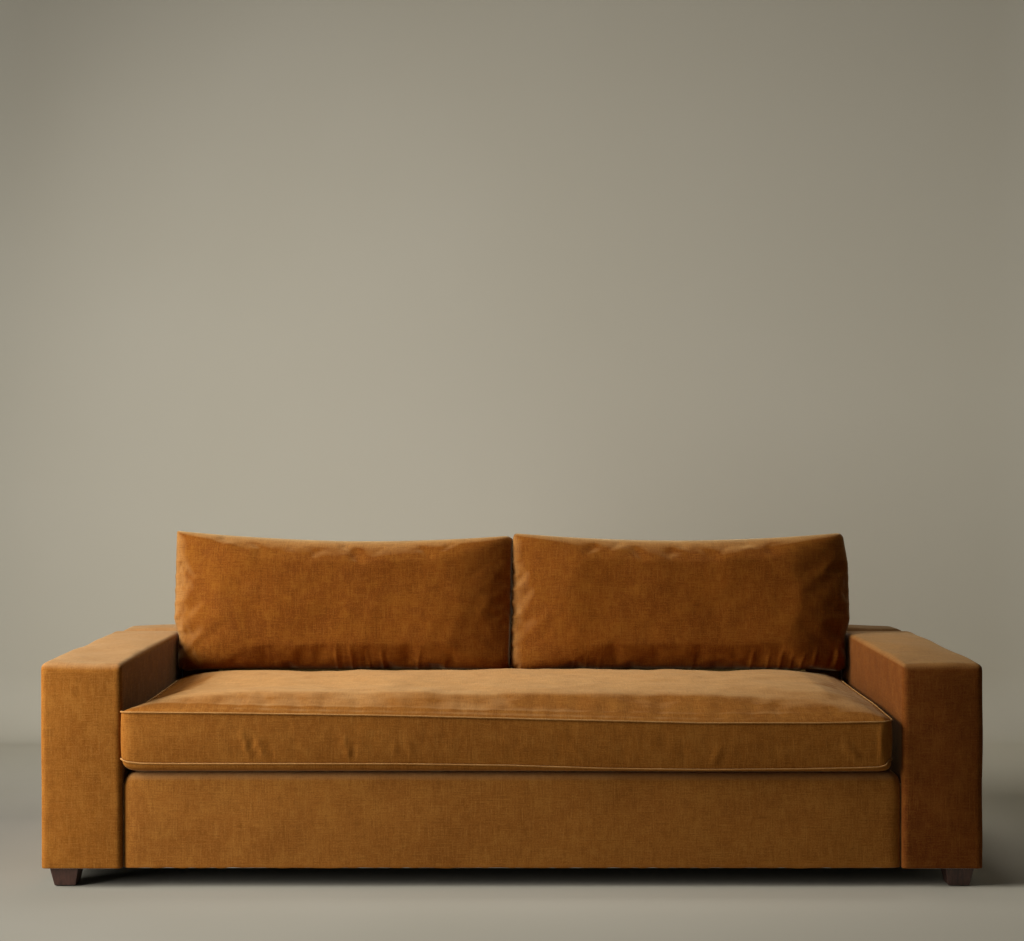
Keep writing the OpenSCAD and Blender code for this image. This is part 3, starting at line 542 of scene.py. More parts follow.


# The sofa's velvet, with painted shade on faces that look right and a paler painted top light on faces
# that look up.
velvet = velvet_finish("ochre_velvet", (0.212, 0.070, 0.0078), (0.262, 0.092, 0.0112),
                       (0.335, 0.140, 0.0240), (0.365, 0.198, 0.080), right_face_shade=0.8)
# A lighter copy of the velvet for the seat cushion, with a much paler painted top light on its flat
# top.
seat_velvet = velvet_finish("seat_velvet", (0.228, 0.075, 0.0085), (0.278, 0.097, 0.0120),
                            (0.355, 0.147, 0.0265), (0.49, 0.260, 0.094), upward=(0.955, 0.9985))
# A paler copy of the velvet for the welts: a painted highlight along the seat's seams.
welt_velvet = velvet_finish("welt_velvet", (0.30, 0.120, 0.022), (0.35, 0.150, 0.034),
                            (0.42, 0.205, 0.062), (0.50, 0.280, 0.105))
# A darker copy of the velvet for the back cushions, painted shade, with painted light on their faces
# that look left and a paler painted top light where they face up.
cushion_velvet = velvet_finish("cushion_velvet", (0.146, 0.039, 0.0028), (0.184, 0.053, 0.0038),
                               (0.248, 0.091, 0.0105), (0.40, 0.200, 0.062), 0.34,
                               (0.75, 1.0), left_face_light=0.85)
# A lighter copy of the velvet for the front rail: painted light on the rail, which lies recessed in
# the seat's shade.
rail_velvet = velvet_finish("rail_velvet", (0.245, 0.084, 0.0120), (0.300, 0.110, 0.0165),
                            (0.375, 0.160, 0.0300), (0.40, 0.210, 0.080))
# A darker copy of the velvet for the right arm: painted shade, as the windows on the left light it
# less.
shaded_velvet = velvet_finish("right_arm_painted_shade_velvet", (0.138, 0.035, 0.0045), (0.174, 0.048, 0.0062),
                              (0.240, 0.084, 0.0145), (0.385, 0.187, 0.058))
timber = timber_finish()
plywood = plywood_finish()
leg_wood = leg_finish()
steel = metal_finish("spring_steel", (0.30, 0.30, 0.31), (0.55, 0.55, 0.56), 0.32)
brass = metal_finish("zip_brass", (0.38, 0.26, 0.10), (0.66, 0.50, 0.22), 0.28)
wadding = wadding_finish()
foam = foam_finish()
strap_cloth = woven_finish("strap_cloth", (0.26, 0.18, 0.09), (0.52, 0.41, 0.25), 700)
cambric = woven_finish("black_cambric", (0.012, 0.012, 0.013), (0.045, 0.045, 0.048), 1400)
nylon = nylon_finish()


# Arms, back and rail

def upholstered(name, lo, hi, cell, sides, radii, shape=None, wall=COVER_T, drop=None):
    """A sewn cover, a layer of padding or a block of foam over a box, with soft edges. shape moves
    its points, drop picks the faces to leave out, and wall is 0 for a solid block."""
    points, quads, uvs, kinds = box_skin(lo, hi, cell, sides)
    if drop is not None:
        points, quads, uvs, kinds = keep_faces(points, quads, uvs, kinds,
                                               ~drop(points[quads].mean(axis=1), kinds))
    points = rounded(points, lo, hi, radii)
    piece = make_piece(name, shape(points) if shape else points, quads, uvs)
    return thicken(piece, wall) if wall else piece


def puffed(points, lo, hi, swell):
    """Lifts each side of a padded box in its middle. swell is the rise of -x, +x, -y, +y, +z."""
    lo, hi = np.array(lo), np.array(hi)
    share = np.clip((points - lo) / (hi - lo), 0, 1)
    dome = np.clip(4 * share * (1 - share), 0, 1) ** 0.6
    out = points.copy()
    for k, edge, way, rise in ((0, lo[0], -1, swell[0]), (0, hi[0], 1, swell[1]),
                               (1, lo[1], -1, swell[2]), (1, hi[1], 1, swell[3]),
                               (2, hi[2], 1, swell[4])):
        others = [j for j in range(3) if j != k]
        on = np.abs(points[:, k] - edge) < 0.0015
        out[on, k] += way * rise * np.prod(dome[on][:, others], axis=1)
    return out


def arm(side):
    """An arm's velvet cover and the wadding under it. side is -1 on the left."""
    name = "right_arm" if side > 0 else "left_arm"
    low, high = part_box(name + "_cover")
    inner = low.x if side > 0 else high.x
    swell = (0.0, 0.004, 0.004, 0.0, 0.006) if side > 0 else (0.004, 0.0, 0.004, 0.0, 0.006)

    def settled(p):
        """Puffed sides with a slight unevenness, which fades out towards the foot and the back."""
        p = puffed(p, low, high, swell)
        clear = ramp(np.abs(p[:, 0] - inner), 0.004, 0.03) * ramp(high.y - p[:, 1], 0.0, 0.08)
        foot = ramp(p[:, 2], low.z, low.z + 0.1)
        way = np.sign(p[:, 0] - (low.x + high.x) / 2)
        p[:, 0] += way * clear * foot * 0.0007 * ripple(p, 11 + side, 0.22)
        p[:, 2] += clear * foot * 0.0013 * ripple(p, 21 + side, 0.17)
        p[:, 1] -= clear * foot * 0.0009 * ripple(p, 31 + side, 0.2)
        return p

    soft = ((ARM_FRONT_R, ARM_FRONT_R), (ARM_EDGE_R, 0), (0, ARM_EDGE_R))
    sides = ("-x", "+x", "-y", "+z", "+y")
    cover = upholstered(name + "_velvet", low, high, ARM_CELL, sides, soft, settled)
    soften(cover)
    # The right arm gets the darker copy of the velvet, painted shade.
    finish_soft(cover, 0.9, shaded_velvet if side > 0 else velvet, "velvet", "frame", name + "_cover")

    low_pad = Vector((low.x + COVER_T, low.y + COVER_T, low.z))
    high_pad = Vector((high.x - COVER_T, high.y - COVER_T, high.z - COVER_T))

    def lumpy(p):
        """Shallow hollows in the arm's two sides."""
        return p - 0.0006 * np.abs(ripple(p, 41 + side, 0.05))[:, None] * np.sign(
            p - np.array((low_pad + high_pad) / 2)) * np.array([1, 0, 0])

    pad = upholstered(name + "_wadding", low_pad, high_pad, PAD_CELL, sides, soft, lumpy, PAD_T)
    finish_soft(pad, 0.7, wadding, "wadding", "frame", name + "_padding")


def lean_y(z, inset=0.0):
    """Where the leaning inside of the back lies at height z, inset inside the cover."""
    top_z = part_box("back_cover")[1].z - BACK_EDGE_R
    slant = BACK_EDGE_R - inset - (z - top_z) * math.sin(RAKE)
    return BACK_TOP_Y + BACK_EDGE_R - slant / math.cos(RAKE)


def back():
    """The back's velvet cover and its wadding. Between the arms its inside leans back."""
    low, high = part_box("back_cover")
    arm_low, arm_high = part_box("right_arm_cover")
    deck_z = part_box("deck_pad")[0].z
    front = arm_high.y
    inner = arm_low.x
    soft = ((BACK_END_R, BACK_END_R), (BACK_EDGE_R, BACK_EDGE_R), (0, BACK_TOP_R))
    edge_reach = 0.031
    arm_lap, end_lap = 0.015, 0.02

    def make(name, inset, cell, thickness, swell):
        lo = Vector((low.x + inset, front + inset, low.z))
        hi = Vector((high.x - inset, high.y - inset, high.z - inset))

        def behind(centre, kinds):
            """The faces of the front side that the deck and the arms hide."""
            far, z = np.abs(centre[:, 0]), centre[:, 2]
            under_deck = (far < inner) & (z < deck_z)
            in_arm = (far > inner + arm_lap) & (far < hi.x - end_lap) & (z < hi.z - end_lap)
            return (kinds == 0) & (under_deck | in_arm)

        def leaning(p):
            """Slants the front side back between the arms, and puffs the others a little."""
            far = np.abs(p[:, 0])
            facing = p[:, 1] < front + edge_reach
            between = 1 - ramp(far, inner - 0.010, inner - 0.001)
            line = lean_y(np.minimum(p[:, 2], high.z - BACK_EDGE_R), inset)
            below_edge = p[:, 2] < high.z - BACK_EDGE_R * 0.9
            step = np.where(facing & below_edge, line - (front + inset), 0)
            depth = np.clip((front + edge_reach - p[:, 1]) / edge_reach, 0, 1)
            p[:, 1] += between * step * depth
            p = puffed(p, lo, hi, swell)
            loose = ramp(p[:, 2], low.z, low.z + 0.1)
            p[:, 2] += loose * 0.0012 * ripple(p, 52, 0.24) * ramp(p[:, 2], 0.5, 0.57)
            rear = ramp(p[:, 1], hi.y - 0.02, hi.y)
            p[:, 1] += rear * loose * 0.0012 * ripple(p, 53, 0.3)
            return p

        return upholstered(name, lo, hi, cell, ("-y", "-x", "+x", "+y", "+z"), soft, leaning,
                           thickness, behind)

    cover = soften(make("back_velvet", 0.0, BACK_CELL, COVER_T, (0.003, 0.003, 0.0, 0.005, 0.018)))
    finish_soft(cover, 0.9, velvet, "velvet", "frame", "back_cover")
    pad = make("back_wadding", COVER_T, BACK_PAD_CELL, PAD_T, (0, 0, 0, 0, 0))
    finish_soft(pad, 0.7, wadding, "wadding", "frame", "back_padding")


def rail():
    """The front rail's cover and wadding, and the deck behind it: its cloth and its foam pad."""
    low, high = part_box("rail_cover")
    cloth_low, cloth_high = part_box("deck_cloth")
    soft = ((RAIL_END_R, RAIL_END_R), (RAIL_EDGE_R, 0), (0, RAIL_TOP_R))

    def slack(p):
        """A soft, slightly uneven front that turns in more tightly below its upper corners."""
        foot = ramp(p[:, 2], low.z, low.z + 0.06)
        ends = ramp(hi.x - np.abs(p[:, 0]), 0.0, 0.05)
        facing = ramp(lo.y + 0.03 - p[:, 1], 0.0, 0.03)
        p[:, 1] -= facing * ends * (0.0008 * ripple(p, 61, 0.26) + 0.0018 * foot
                                    * np.clip(4 * (p[:, 2] - lo.z) * (hi.z - p[:, 2])
                                              / (hi.z - lo.z) ** 2, 0, 1))
        p[:, 2] += np.where(p[:, 2] < lo.z + 0.002, 0.0006 * ripple(p, 62, 0.03), 0)
        deep = p[:, 1] - lo.y
        folded = np.interp(deep, (0, RAIL_EDGE_R, 0.04), (0, RAIL_FOLD_R, 0.04))
        below_corner = 1 - ramp(p[:, 2], hi.z - 0.032, hi.z - 0.018)
        p[:, 1] += np.where((deep > 0) & (deep < 0.04), (folded - deep) * below_corner, 0)
        return p

    lo = Vector((low.x + CLEARANCE, low.y, low.z))
    hi = Vector((high.x - CLEARANCE, high.y, high.z))
    cover = upholstered("rail_velvet", lo, hi, RAIL_CELL, RAIL_SIDES, soft, slack)
    soften(cover)
    finish_soft(cover, 0.9, rail_velvet, "velvet", "frame", "rail_cover")

    pad_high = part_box("rail_padding")[1]
    lo_pad = Vector((lo.x + COVER_T, low.y + COVER_T, low.z))
    hi_pad = Vector((hi.x - COVER_T, pad_high.y, high.z - COVER_T))
    pad = upholstered("rail_wadding", lo_pad, hi_pad, PAD_CELL, RAIL_SIDES, soft, None, PAD_T)
    finish_soft(pad, 0.7, wadding, "wadding", "frame", "rail_padding")

    lo_deck = Vector((lo.x, cloth_low.y, cloth_low.z))
    hi_deck = Vector((hi.x, cloth_high.y, cloth_high.z))
    deck_soft = ((RAIL_END_R, RAIL_END_R), (0, 0), (0, DECK_TOP_R))

    def rested(p):
        """The deck's cloth, pressed down a little by the cushion."""
        edge = ramp(hi_deck.x - np.abs(p[:, 0]), 0.02, 0.2)
        p[:, 2] -= edge * ramp(p[:, 1], lo_deck.y, lo_deck.y + 0.1) * (
            0.002 + 0.001 * ripple(p, 71, 0.18))
        return p

    cloth = upholstered("deck_velvet", lo_deck, hi_deck, PAD_CELL, ("-x", "+x", "+z"), deck_soft,
                        rested)
    finish_piece(cloth, velvet, "velvet", "frame", "deck_cloth")

    foam_low, foam_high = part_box("deck_pad")
    under, over = 0.0004, 0.0035
    lo_foam = Vector((lo.x + COVER_T, foam_low.y, foam_low.z + under))
    hi_foam = Vector((hi.x - COVER_T, foam_high.y, foam_high.z - over))
    block = upholstered("deck_foam", lo_foam, hi_foam, FOAM_CELL, ALL_SIDES,
                        ((0.024, 0.024), (0, 0), (0, 0.015)), wall=0)
    finish_soft(block, 0.8, foam, "foam", "frame", "deck_pad")


# Cushions

def weigh(piece, name, shares):
    """A vertex group that holds each point's share, from 0 to 1."""
    group = piece.vertex_groups.new(name=name)
    for v, share in enumerate(shares):
        group.add([v], float(share), "REPLACE")


def puff(piece, pressure, frames, pinned, stretch, grow, bending, cap):
    """Blows a closed mesh up as cloth for some frames, with the pinned points held, and gives how
    far each point moved, at most cap. stretch is each point's share of the extra cloth in grow."""
    start = points_of(piece)
    weigh(piece, "held", pinned)
    weigh(piece, "room", 1 - stretch)
    cloth = piece.modifiers.new("cloth", "CLOTH")
    settings = {"quality": 6, "mass": 0.25, "tension_stiffness": 18, "compression_stiffness": 18,
                "shear_stiffness": 6, "bending_stiffness": bending, "air_damping": 6,
                "use_pressure": True, "uniform_pressure_force": pressure,
                "vertex_group_mass": "held", "vertex_group_shrink": "room",
                "shrink_min": -grow, "shrink_max": 0.0}
    for key, value in settings.items():
        setattr(cloth.settings, key, value)
    cloth.settings.effector_weights.gravity = 0
    cloth.collision_settings.use_collision = False
    cloth.point_cache.frame_start = 1
    cloth.point_cache.frame_end = frames
    scene = bpy.context.scene
    for f in range(1, frames + 1):
        scene.frame_set(f)
    seen = piece.evaluated_get(bpy.context.evaluated_depsgraph_get())
    co = np.zeros(len(piece.data.vertices) * 3, np.float32)
    seen.data.vertices.foreach_get("co", co)
    bpy.data.objects.remove(piece)
    scene.frame_set(1)
    move = co.reshape(-1, 3).astype(float) - start
    far = np.linalg.norm(move, axis=1)
    scale = np.where(far > cap, cap / np.maximum(far, 1e-9), 1)
    return move * scale[:, None]


def carried_over(coarse, move, fine, reach):
    """The movement of a coarse mesh's points, spread smoothly over the points of a finer one."""
    tree = KDTree(len(coarse))
    for k, place in enumerate(coarse):
        tree.insert(place, k)
    tree.balance()
    total = np.zeros((len(fine), 3))
    for k, place in enumerate(fine):
        near = tree.find_n(place, 12)
        weights = np.exp(-(np.array([q[2] for q in near]) / reach) ** 2)
        total[k] = weights @ move[[q[1] for q in near]] / weights.sum()
    return total


def folds(points, marks):
    """Depth of soft folds. Each mark has two ends, a width and a depth, in the points' own plane."""
    total = np.zeros(len(points))
    for (ax, ay), (bx, by), width, depth in marks:
        way = np.array([bx - ax, by - ay])
        length = np.linalg.norm(way)
        way /= length
        rel = points - np.array([ax, ay])
        t = rel @ way / length
        off = rel @ np.array([-way[1], way[0]])
        off = off + 0.15 * width * np.sin(t * 7)
        fade = ramp(t, -0.05, 0.25) * (1 - ramp(t, 0.6, 1.1))
        total += depth * fade * np.exp(-(off / width) ** 2) * (1 - 0.8 * (off / width) ** 2)
    return total


def split_panels(whole, kinds, names):
    """Cuts a shaped mesh into its sewn panels, one object each, that still meet at the seams."""
    points = points_of(whole)
    mesh = whole.data
    quads = np.zeros(len(mesh.loops), np.int32)
    mesh.loops.foreach_get("vertex_index", quads)
    quads = quads.reshape(-1, 4)
    uvs = np.zeros(len(mesh.loops) * 2, np.float32)
    mesh.uv_layers["weave"].data.foreach_get("uv", uvs)
    panels = []
    for name, members in names:
        keep = np.isin(kinds, members)
        p, q, u, _ = keep_faces(points, quads, uvs.reshape(-1, 2), kinds, keep)
        panels.append(make_piece(name, p, q, u))
    bpy.data.objects.remove(whole)
    return panels


# The seat's crown: shares of its height, and how far in they are as shares of the half width and
# the half depth
CROWN_SHARES = (0, 0.27, 0.56, 0.83, 0.96, 1)
CROWN_FROM_SIDE = (0, 0.016, 0.05, 0.14, 0.32, 0.62)
CROWN_FROM_FRONT = (0, 0.03, 0.1, 0.25, 0.48, 0.76)
CROWN_RIDGE = 3.0


def crown_height(px, py, a, b):
    """Height share of the seat's crown at a point px, py from its middle. The rise from the sides
    and the rise from the front and rear join in a rounded ridge."""
    fx = np.interp(1 - np.abs(px) / a, CROWN_FROM_SIDE, CROWN_SHARES)
    fy = np.interp(1 - np.abs(py) / b, CROWN_FROM_FRONT, CROWN_SHARES)
    fx, fy = np.maximum(fx, 1e-4), np.maximum(fy, 1e-4)
    return (fx ** -CROWN_RIDGE + fy ** -CROWN_RIDGE - 1) ** (-1 / CROWN_RIDGE)


def seat_form(cell):
    """The closed seat cushion on a grid of cells: its points, quads, UVs and sides, its points as a
    plain box, its middle and half its length and depth."""
    low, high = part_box("seat_boxing")
    swell = BOXING_SWELL
    lo = np.array([low.x + swell, low.y + swell, SEAM_LOW])
    hi = np.array([high.x - swell, high.y - swell, SEAM_HIGH])
    sides = ("-y", "-x", "+x", "+y", "+z", "-z")
    points, quads, uvs, kinds = box_skin(lo, hi, cell, sides)
    flat = points.copy()
    r = SEAT_CORNER_R
    points = rounded(points, lo, hi, ((r, r), (r, r), (0, 0)))
    mid = (lo + hi) / 2
    a, b = (hi[0] - lo[0]) / 2, (hi[1] - lo[1]) / 2
    px, py = points[:, 0] - mid[0], points[:, 1] - mid[1]
    sx, sy = np.clip(px / a, -1, 1), np.clip(py / b, -1, 1)
    points[:, 1] += np.where(sy < 0, SEAT_DRAW * (1 - sx ** 2) * -sy, 0)
    points[:, 0] -= SEAT_DRAW * (1 - sy ** 2) * sx
    t = (flat[:, 2] - lo[2]) / (hi[2] - lo[2])
    bulge = swell * np.clip(4 * t * (1 - t), 0, 1) ** 0.7
    edge = np.maximum(np.abs(flat[:, 0] - mid[0]) / a, np.abs(flat[:, 1] - mid[1]) / b) > 0.9999
    out = np.stack([sx * (np.abs(sx) > 0.99), sy * (np.abs(sy) > 0.97)], axis=1)
    out /= np.maximum(np.linalg.norm(out, axis=1), 1)[:, None]
    points[:, :2] += out * (bulge * edge)[:, None]
    top = flat[:, 2] > hi[2] - 1e-6
    points[:, 2] += np.where(top, SEAT_CROWN * crown_height(
        flat[:, 0] - mid[0], flat[:, 1] - mid[1], a, b), 0)
    under = flat[:, 2] < lo[2] + 1e-6
    inside = np.minimum(a - np.abs(flat[:, 0] - mid[0]), b - np.abs(flat[:, 1] - mid[1]))
    points[:, 2] -= np.where(under, SEAT_BELLY * ramp(inside, 0, 0.06), 0)
    return points, quads, uvs, kinds, flat, mid, (a, b)


# How the seat's front edge stands up on the left and sags on the right, as shares of SEAT_SAG
SAG_X = (-1, -0.75, -0.3, 0.1, 0.5, 0.8, 1)
SAG_SHARE = (1, 0.85, 0.35, -0.35, -1, -1, -0.7)
# Rise of the seat's lower seam along its front, from the left corner to the right one
LOW_SEAM_X = (-1, -0.985, -0.96, -0.9, -0.3, 0, 0.25, 0.5, 0.75, 0.9, 0.96, 0.985, 1)
LOW_SEAM_RISE = (0.034, 0.028, 0.024, 0.023, 0.022, 0.018, 0.010, 0.007, 0.009, 0.012, 0.014, 0.020,
                 0.030)
# The underside's swelling below that seam: distance from the seam, share of the rise, way out
BELLY_AT = (0, 0.0085, 0.017, 0.026, 0.034, 0.043)
BELLY_RISE = (1, 0.56, 0.27, 0.13, 0.05, 0)
BELLY_OUT = (0, 0.0092, 0.0100, 0.0080, 0.0050, 0)

# Folds and dents, each with its two ends, its width and its depth: on the seat's front boxing from
# its middle and the lower seam, and on each back cushion's front from its middle
BOXING_MARKS = [
    ((-0.672, 0.010), (-0.690, 0.100), 0.0055, 0.0034),
    ((-0.655, 0.016), (-0.668, 0.085), 0.005, -0.0026),
    ((-0.630, 0.008), (-0.655, 0.090), 0.0055, 0.0032),
    ((-0.610, 0.010), (-0.622, 0.070), 0.006, -0.002),
    ((-0.415, 0.010), (-0.425, 0.085), 0.0055, 0.0032),
    ((-0.400, 0.012), (-0.402, 0.075), 0.005, -0.0022),
    ((-0.300, 0.020), (-0.290, 0.070), 0.010, 0.0016),
    ((-0.250, 0.016), (-0.262, 0.080), 0.009, 0.0014),
    ((0.20, 0.012), (0.16, 0.07), 0.014, 0.0014),
    ((0.52, 0.014), (0.56, 0.08), 0.013, 0.0016),
    ((0.90, 0.02), (0.86, 0.09), 0.013, 0.002),
    ((0.962, 0.01), (0.958, 0.14), 0.006, 0.003),
]


def inner_layer(name, whole, depth):
    """A copy of a finished closed shape, moved inwards by a depth, for what fills it."""
    layer = add_object(name, whole.data.copy())
    layer.data.name = name
    set_points(layer, points_of(whole) - normals_of(whole) * depth)
    return layer


def sat_in(p, fx, fy, fz, a, b):
    """The used look of the seat: its front edge sags to the right of the middle, its front left
    corner swells past the arm and its underside swells out below the lower seam. It stays on the
    deck and between the arms."""
    front = ramp(-fy, 0.3, 1.0)
    p[:, 2] += front * fz * SEAT_SAG * np.interp(fx, SAG_X, SAG_SHARE)
    from_front, from_side = (1 + fy) * b, (1 - np.abs(fx)) * a
    inside = np.minimum(from_front, from_side)
    near_front = 1 - ramp(from_front, 0.02, 0.26)
    share = np.where(fz < 1e-6, np.interp(inside, BELLY_AT, BELLY_RISE), 1 - fz)
    p[:, 2] += near_front * share * np.interp(fx, LOW_SEAM_X, LOW_SEAM_RISE)
    way = np.stack([np.sign(fx) * np.exp(-from_side / 0.01), -np.exp(-from_front / 0.01)], axis=1)
    way /= np.maximum(np.linalg.norm(way, axis=1), 1e-9)[:, None]
    out = np.where(fz < 1e-6, np.interp(inside, BELLY_AT, BELLY_OUT), 0) * near_front
    p[:, :2] += way * out[:, None]
    corner = ramp(-fy, 0.90, 1.0)
    p[:, 0] -= corner * CORNER_SWELL * (ramp(-fx, 0.96, 1.0) + 0.5 * ramp(fx, 0.96, 1.0))
    deck_gap, arm_gap = 0.0006, 0.0008
    _, deck_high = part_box("deck_cloth")
    rail_low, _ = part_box("rail_cover")
    arm_low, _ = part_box("right_arm_cover")
    over = np.clip(rail_low.y + RAIL_EDGE_R - p[:, 1], 0, RAIL_EDGE_R)
    rest = deck_high.z - RAIL_EDGE_R + np.sqrt(RAIL_EDGE_R ** 2 - over ** 2)
    rest = np.where(p[:, 1] < rail_low.y, 0, rest)
    p[:, 2] = np.maximum(p[:, 2], rest + deck_gap)
    round_y = np.clip(arm_low.y + ARM_FRONT_R - p[:, 1], 0, ARM_FRONT_R)
    room = ARM_FRONT_R - np.sqrt(ARM_FRONT_R ** 2 - round_y ** 2)
    reach = arm_low.x + room - arm_gap
    p[:, 0] = np.clip(p[:, 0], -reach, reach)
    return p


def seat_cushion():
    """The seat cushion: its wadding, its foam core and its three velvet panels, which it returns."""
    points, quads, uvs, kinds, flat, mid, (a, b) = seat_form(SEAT_CELL)

    def parts_of(flat):
        """Which points are on the top, the underside and the boxing, and how far in they are."""
        top = np.isclose(flat[:, 2], flat[:, 2].max())
        under = np.isclose(flat[:, 2], flat[:, 2].min())
        off = np.abs(flat[:, :2] - mid[:2])
        inside = np.minimum(a - off[:, 0], b - off[:, 1])
        return top, under, inside < 1e-5, inside

    top_seam, low_seam, rim, inside = parts_of(flat)
    seam = rim & (top_seam | low_seam)
    px, py = flat[:, 0] - mid[0], flat[:, 1] - mid[1]
    start, faces, corners, _, coarse, _, _ = seat_form(SEAT_CLOTH_CELL)
    top, under, edge, deep = parts_of(coarse)
    slack = np.where(edge, 0.3, ramp(deep, 0.0, 0.05) - 0.5 * ramp(deep, 0.05, 0.2))
    slack = np.where(under & ~edge, 0, slack)
    held = (edge & (top | under)) | (under & (deep > 0.03))
    move = puff(make_piece("seat_cloth", start, faces, corners), pressure=1.6, frames=18,
                pinned=held, stretch=slack, grow=0.003, bending=0.8, cap=0.010)
    points = points + carried_over(coarse, move, flat, 0.012) * (~seam)[:, None]
    whole = make_piece("seat_shape", points, quads, uvs)
    p = points_of(whole)
    n = normals_of(whole)
    front = rim & (flat[:, 1] < mid[1]) & ~seam
    depth = folds(np.stack([px, flat[:, 2] - SEAM_LOW], axis=1), BOXING_MARKS)
    dents = 0.0018 * ripple(p, 81, 0.26) + 0.0006 * ripple(p, 82, 0.09)
    p += n * (np.where(front, depth, 0) + np.where(
        top_seam & ~rim, dents * ramp(inside, 0.01, 0.12), 0))[:, None]
    p = sat_in(p, px / a, py / b, (flat[:, 2] - SEAM_LOW) / (SEAM_HIGH - SEAM_LOW), a, b)
    set_points(whole, p)
    wrap = inner_layer("seat_wadding", whole, UNDER_PANEL)
    thicken(wrap, SEAT_WRAP_T)
    finish_soft(wrap, 0.7, wadding, "wadding", "seat_cushion", "seat_fibre_wrap")
    core_low, core_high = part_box("seat_foam_core")
    core = upholstered("seat_foam_block", core_low, core_high, FOAM_CELL, ALL_SIDES,
                       ((0.012, 0.012),) * 3, wall=0)
    finish_soft(core, 0.9, foam, "foam", "seat_cushion", "seat_foam_core")
    panels = split_panels(whole, kinds, (("seat_top_velvet", [4]),
                                         ("seat_boxing_velvet", [0, 1, 2, 3]),
                                         ("seat_bottom_velvet", [5])))
    for panel, node in zip(panels, ("seat_top_panel", "seat_boxing", "seat_bottom_panel")):
        thicken(soften(panel), PANEL_T)
        finish_soft(panel, 0.8, seat_velvet, "velvet", "seat_cushion", node)
    return panels


def tube(name, path, radius, closed, around=10, flat_u=0.0):
    """A round cord along a path of points, around points about, with its UVs in metres from
    flat_u on."""
    path = np.asarray(path, float)
    n = len(path)
    ahead = np.roll(path, -1, axis=0) - np.roll(path, 1, axis=0)
    if not closed:
        ahead[0], ahead[-1] = path[1] - path[0], path[-1] - path[-2]
    ahead /= np.linalg.norm(ahead, axis=1)[:, None]
    up = np.array([0.0, 0.0, 1.0])
    side = np.cross(ahead, up)
    side /= np.maximum(np.linalg.norm(side, axis=1), 1e-6)[:, None]
    above = np.cross(side, ahead)
    turn = 2 * math.pi * np.arange(around) / around
    ring = (np.cos(turn)[None, :, None] * side[:, None, :]
            + np.sin(turn)[None, :, None] * above[:, None, :])
    points = (path[:, None, :] + radius * ring).reshape(-1, 3)
    step = np.linalg.norm(np.roll(path, -1, axis=0) - path, axis=1)
    run = np.concatenate([[0], np.cumsum(step)])
    faces, uvs = [], []
    for i in range(n if closed else n - 1):
        for j in range(around):
            k, l = (i + 1) % n, (j + 1) % around
            faces.append((i * around + j, i * around + l, k * around + l, k * around + j))
            v0, v1 = radius * turn[j], radius * (turn[j] + turn[1])
            uvs += [(run[i] + flat_u, v0), (run[i] + flat_u, v1), (run[i + 1] + flat_u, v1),
                    (run[i + 1] + flat_u, v0)]
    if not closed:
        faces.append(tuple(range(around - 1, -1, -1)))
        faces.append(tuple((n - 1) * around + j for j in range(around)))
        uvs += [(0, 0)] * (2 * around)
    return make_piece(name, points, faces, uvs)


def seam_loop(panel):
    """The points of a panel's open edge, in order round the panel."""
    edges = {}
    shape = bmesh.new()
    shape.from_mesh(panel.data)
    for edge in shape.edges:
        if len(edge.link_faces) == 1:
            p, q = (tuple(round(c, 6) for c in v.co) for v in edge.verts)
            edges.setdefault(p, []).append(q)
            edges.setdefault(q, []).append(p)
    shape.free()
    start = min(edges)
    path, here, before = [start], edges[start][0], start
    while here != start:
        path.append(here)
        here, before = [q for q in edges[here] if q != before][0], here
    return np.array(path)


def even_loop(path, step):
    """The closed path again, with its points evenly spaced."""
    ring = np.concatenate([path, path[:1]])
    run = np.concatenate([[0], np.cumsum(np.linalg.norm(np.diff(ring, axis=0), axis=1))])
    at = np.linspace(0, run[-1], max(8, round(run[-1] / step)), endpoint=False)
    return np.stack([np.interp(at, run, ring[:, k]) for k in range(3)], axis=1)


def seat_welts(top_panel, bottom_panel):
    """The two welts, one along each seam of the seat's boxing."""
    parts = []
    for panel, up in ((top_panel, 1), (bottom_panel, -1)):
        loop = even_loop(seam_loop(panel), 0.006)
        middle = loop.mean(axis=0)
        out = np.roll(loop, -1, axis=0) - np.roll(loop, 1, axis=0)
        out = np.stack([out[:, 1], -out[:, 0]], axis=1)
        out /= np.linalg.norm(out, axis=1)[:, None]
        if np.sum(out * (loop[:, :2] - middle[:2])) < 0:
            out = -out
        off = WELT_R * math.sqrt(0.5)
        loop[:, :2] += out * off
        loop[:, 2] += up * off * 0.6
        parts.append(tube(f"welt_{up}", loop, WELT_R, closed=True, flat_u=0.5 * up))
    welts = join_pieces("seat_welt_cords", parts)
    finish_piece(welts, welt_velvet, "velvet", "seat_cushion", "seat_welts")


def join_pieces(name, parts):
    """One mesh object from several, with their UVs kept."""
    shape = bmesh.new()
    for part in parts:
        shape.from_mesh(part.data)
        bpy.data.objects.remove(part)
    return from_bmesh(name, shape)


def cushion_grid(across, upwards):
    """Two grids that share their rim, front then rear, over -1 to 1 both ways."""
    u, v = np.meshgrid(np.linspace(-1, 1, across + 1), np.linspace(-1, 1, upwards + 1), indexing="ij")
    flat = np.stack([u.ravel(), v.ravel()], axis=1)
    s, t = np.meshgrid(np.arange(across), np.arange(upwards), indexing="ij")
    q = (s * (upwards + 1) + t).ravel()
    front = np.stack([q, q + upwards + 1, q + upwards + 2, q + 1], axis=1)
    rim = np.isclose(np.abs(flat).max(axis=1), 1)
    back_of = np.arange(len(flat))
    inner = np.flatnonzero(~rim)
    back_of[inner] = len(flat) + np.arange(len(inner))
    rear = back_of[front][:, ::-1]
    uv = np.concatenate([flat, flat[inner]])
    sides = np.concatenate([np.ones(len(flat)), -np.ones(len(inner))])
    on_rim = np.concatenate([rim, np.zeros(len(inner), bool)])
    return uv, sides, np.concatenate([front, rear]), np.repeat([0, 1], len(front)), on_rim


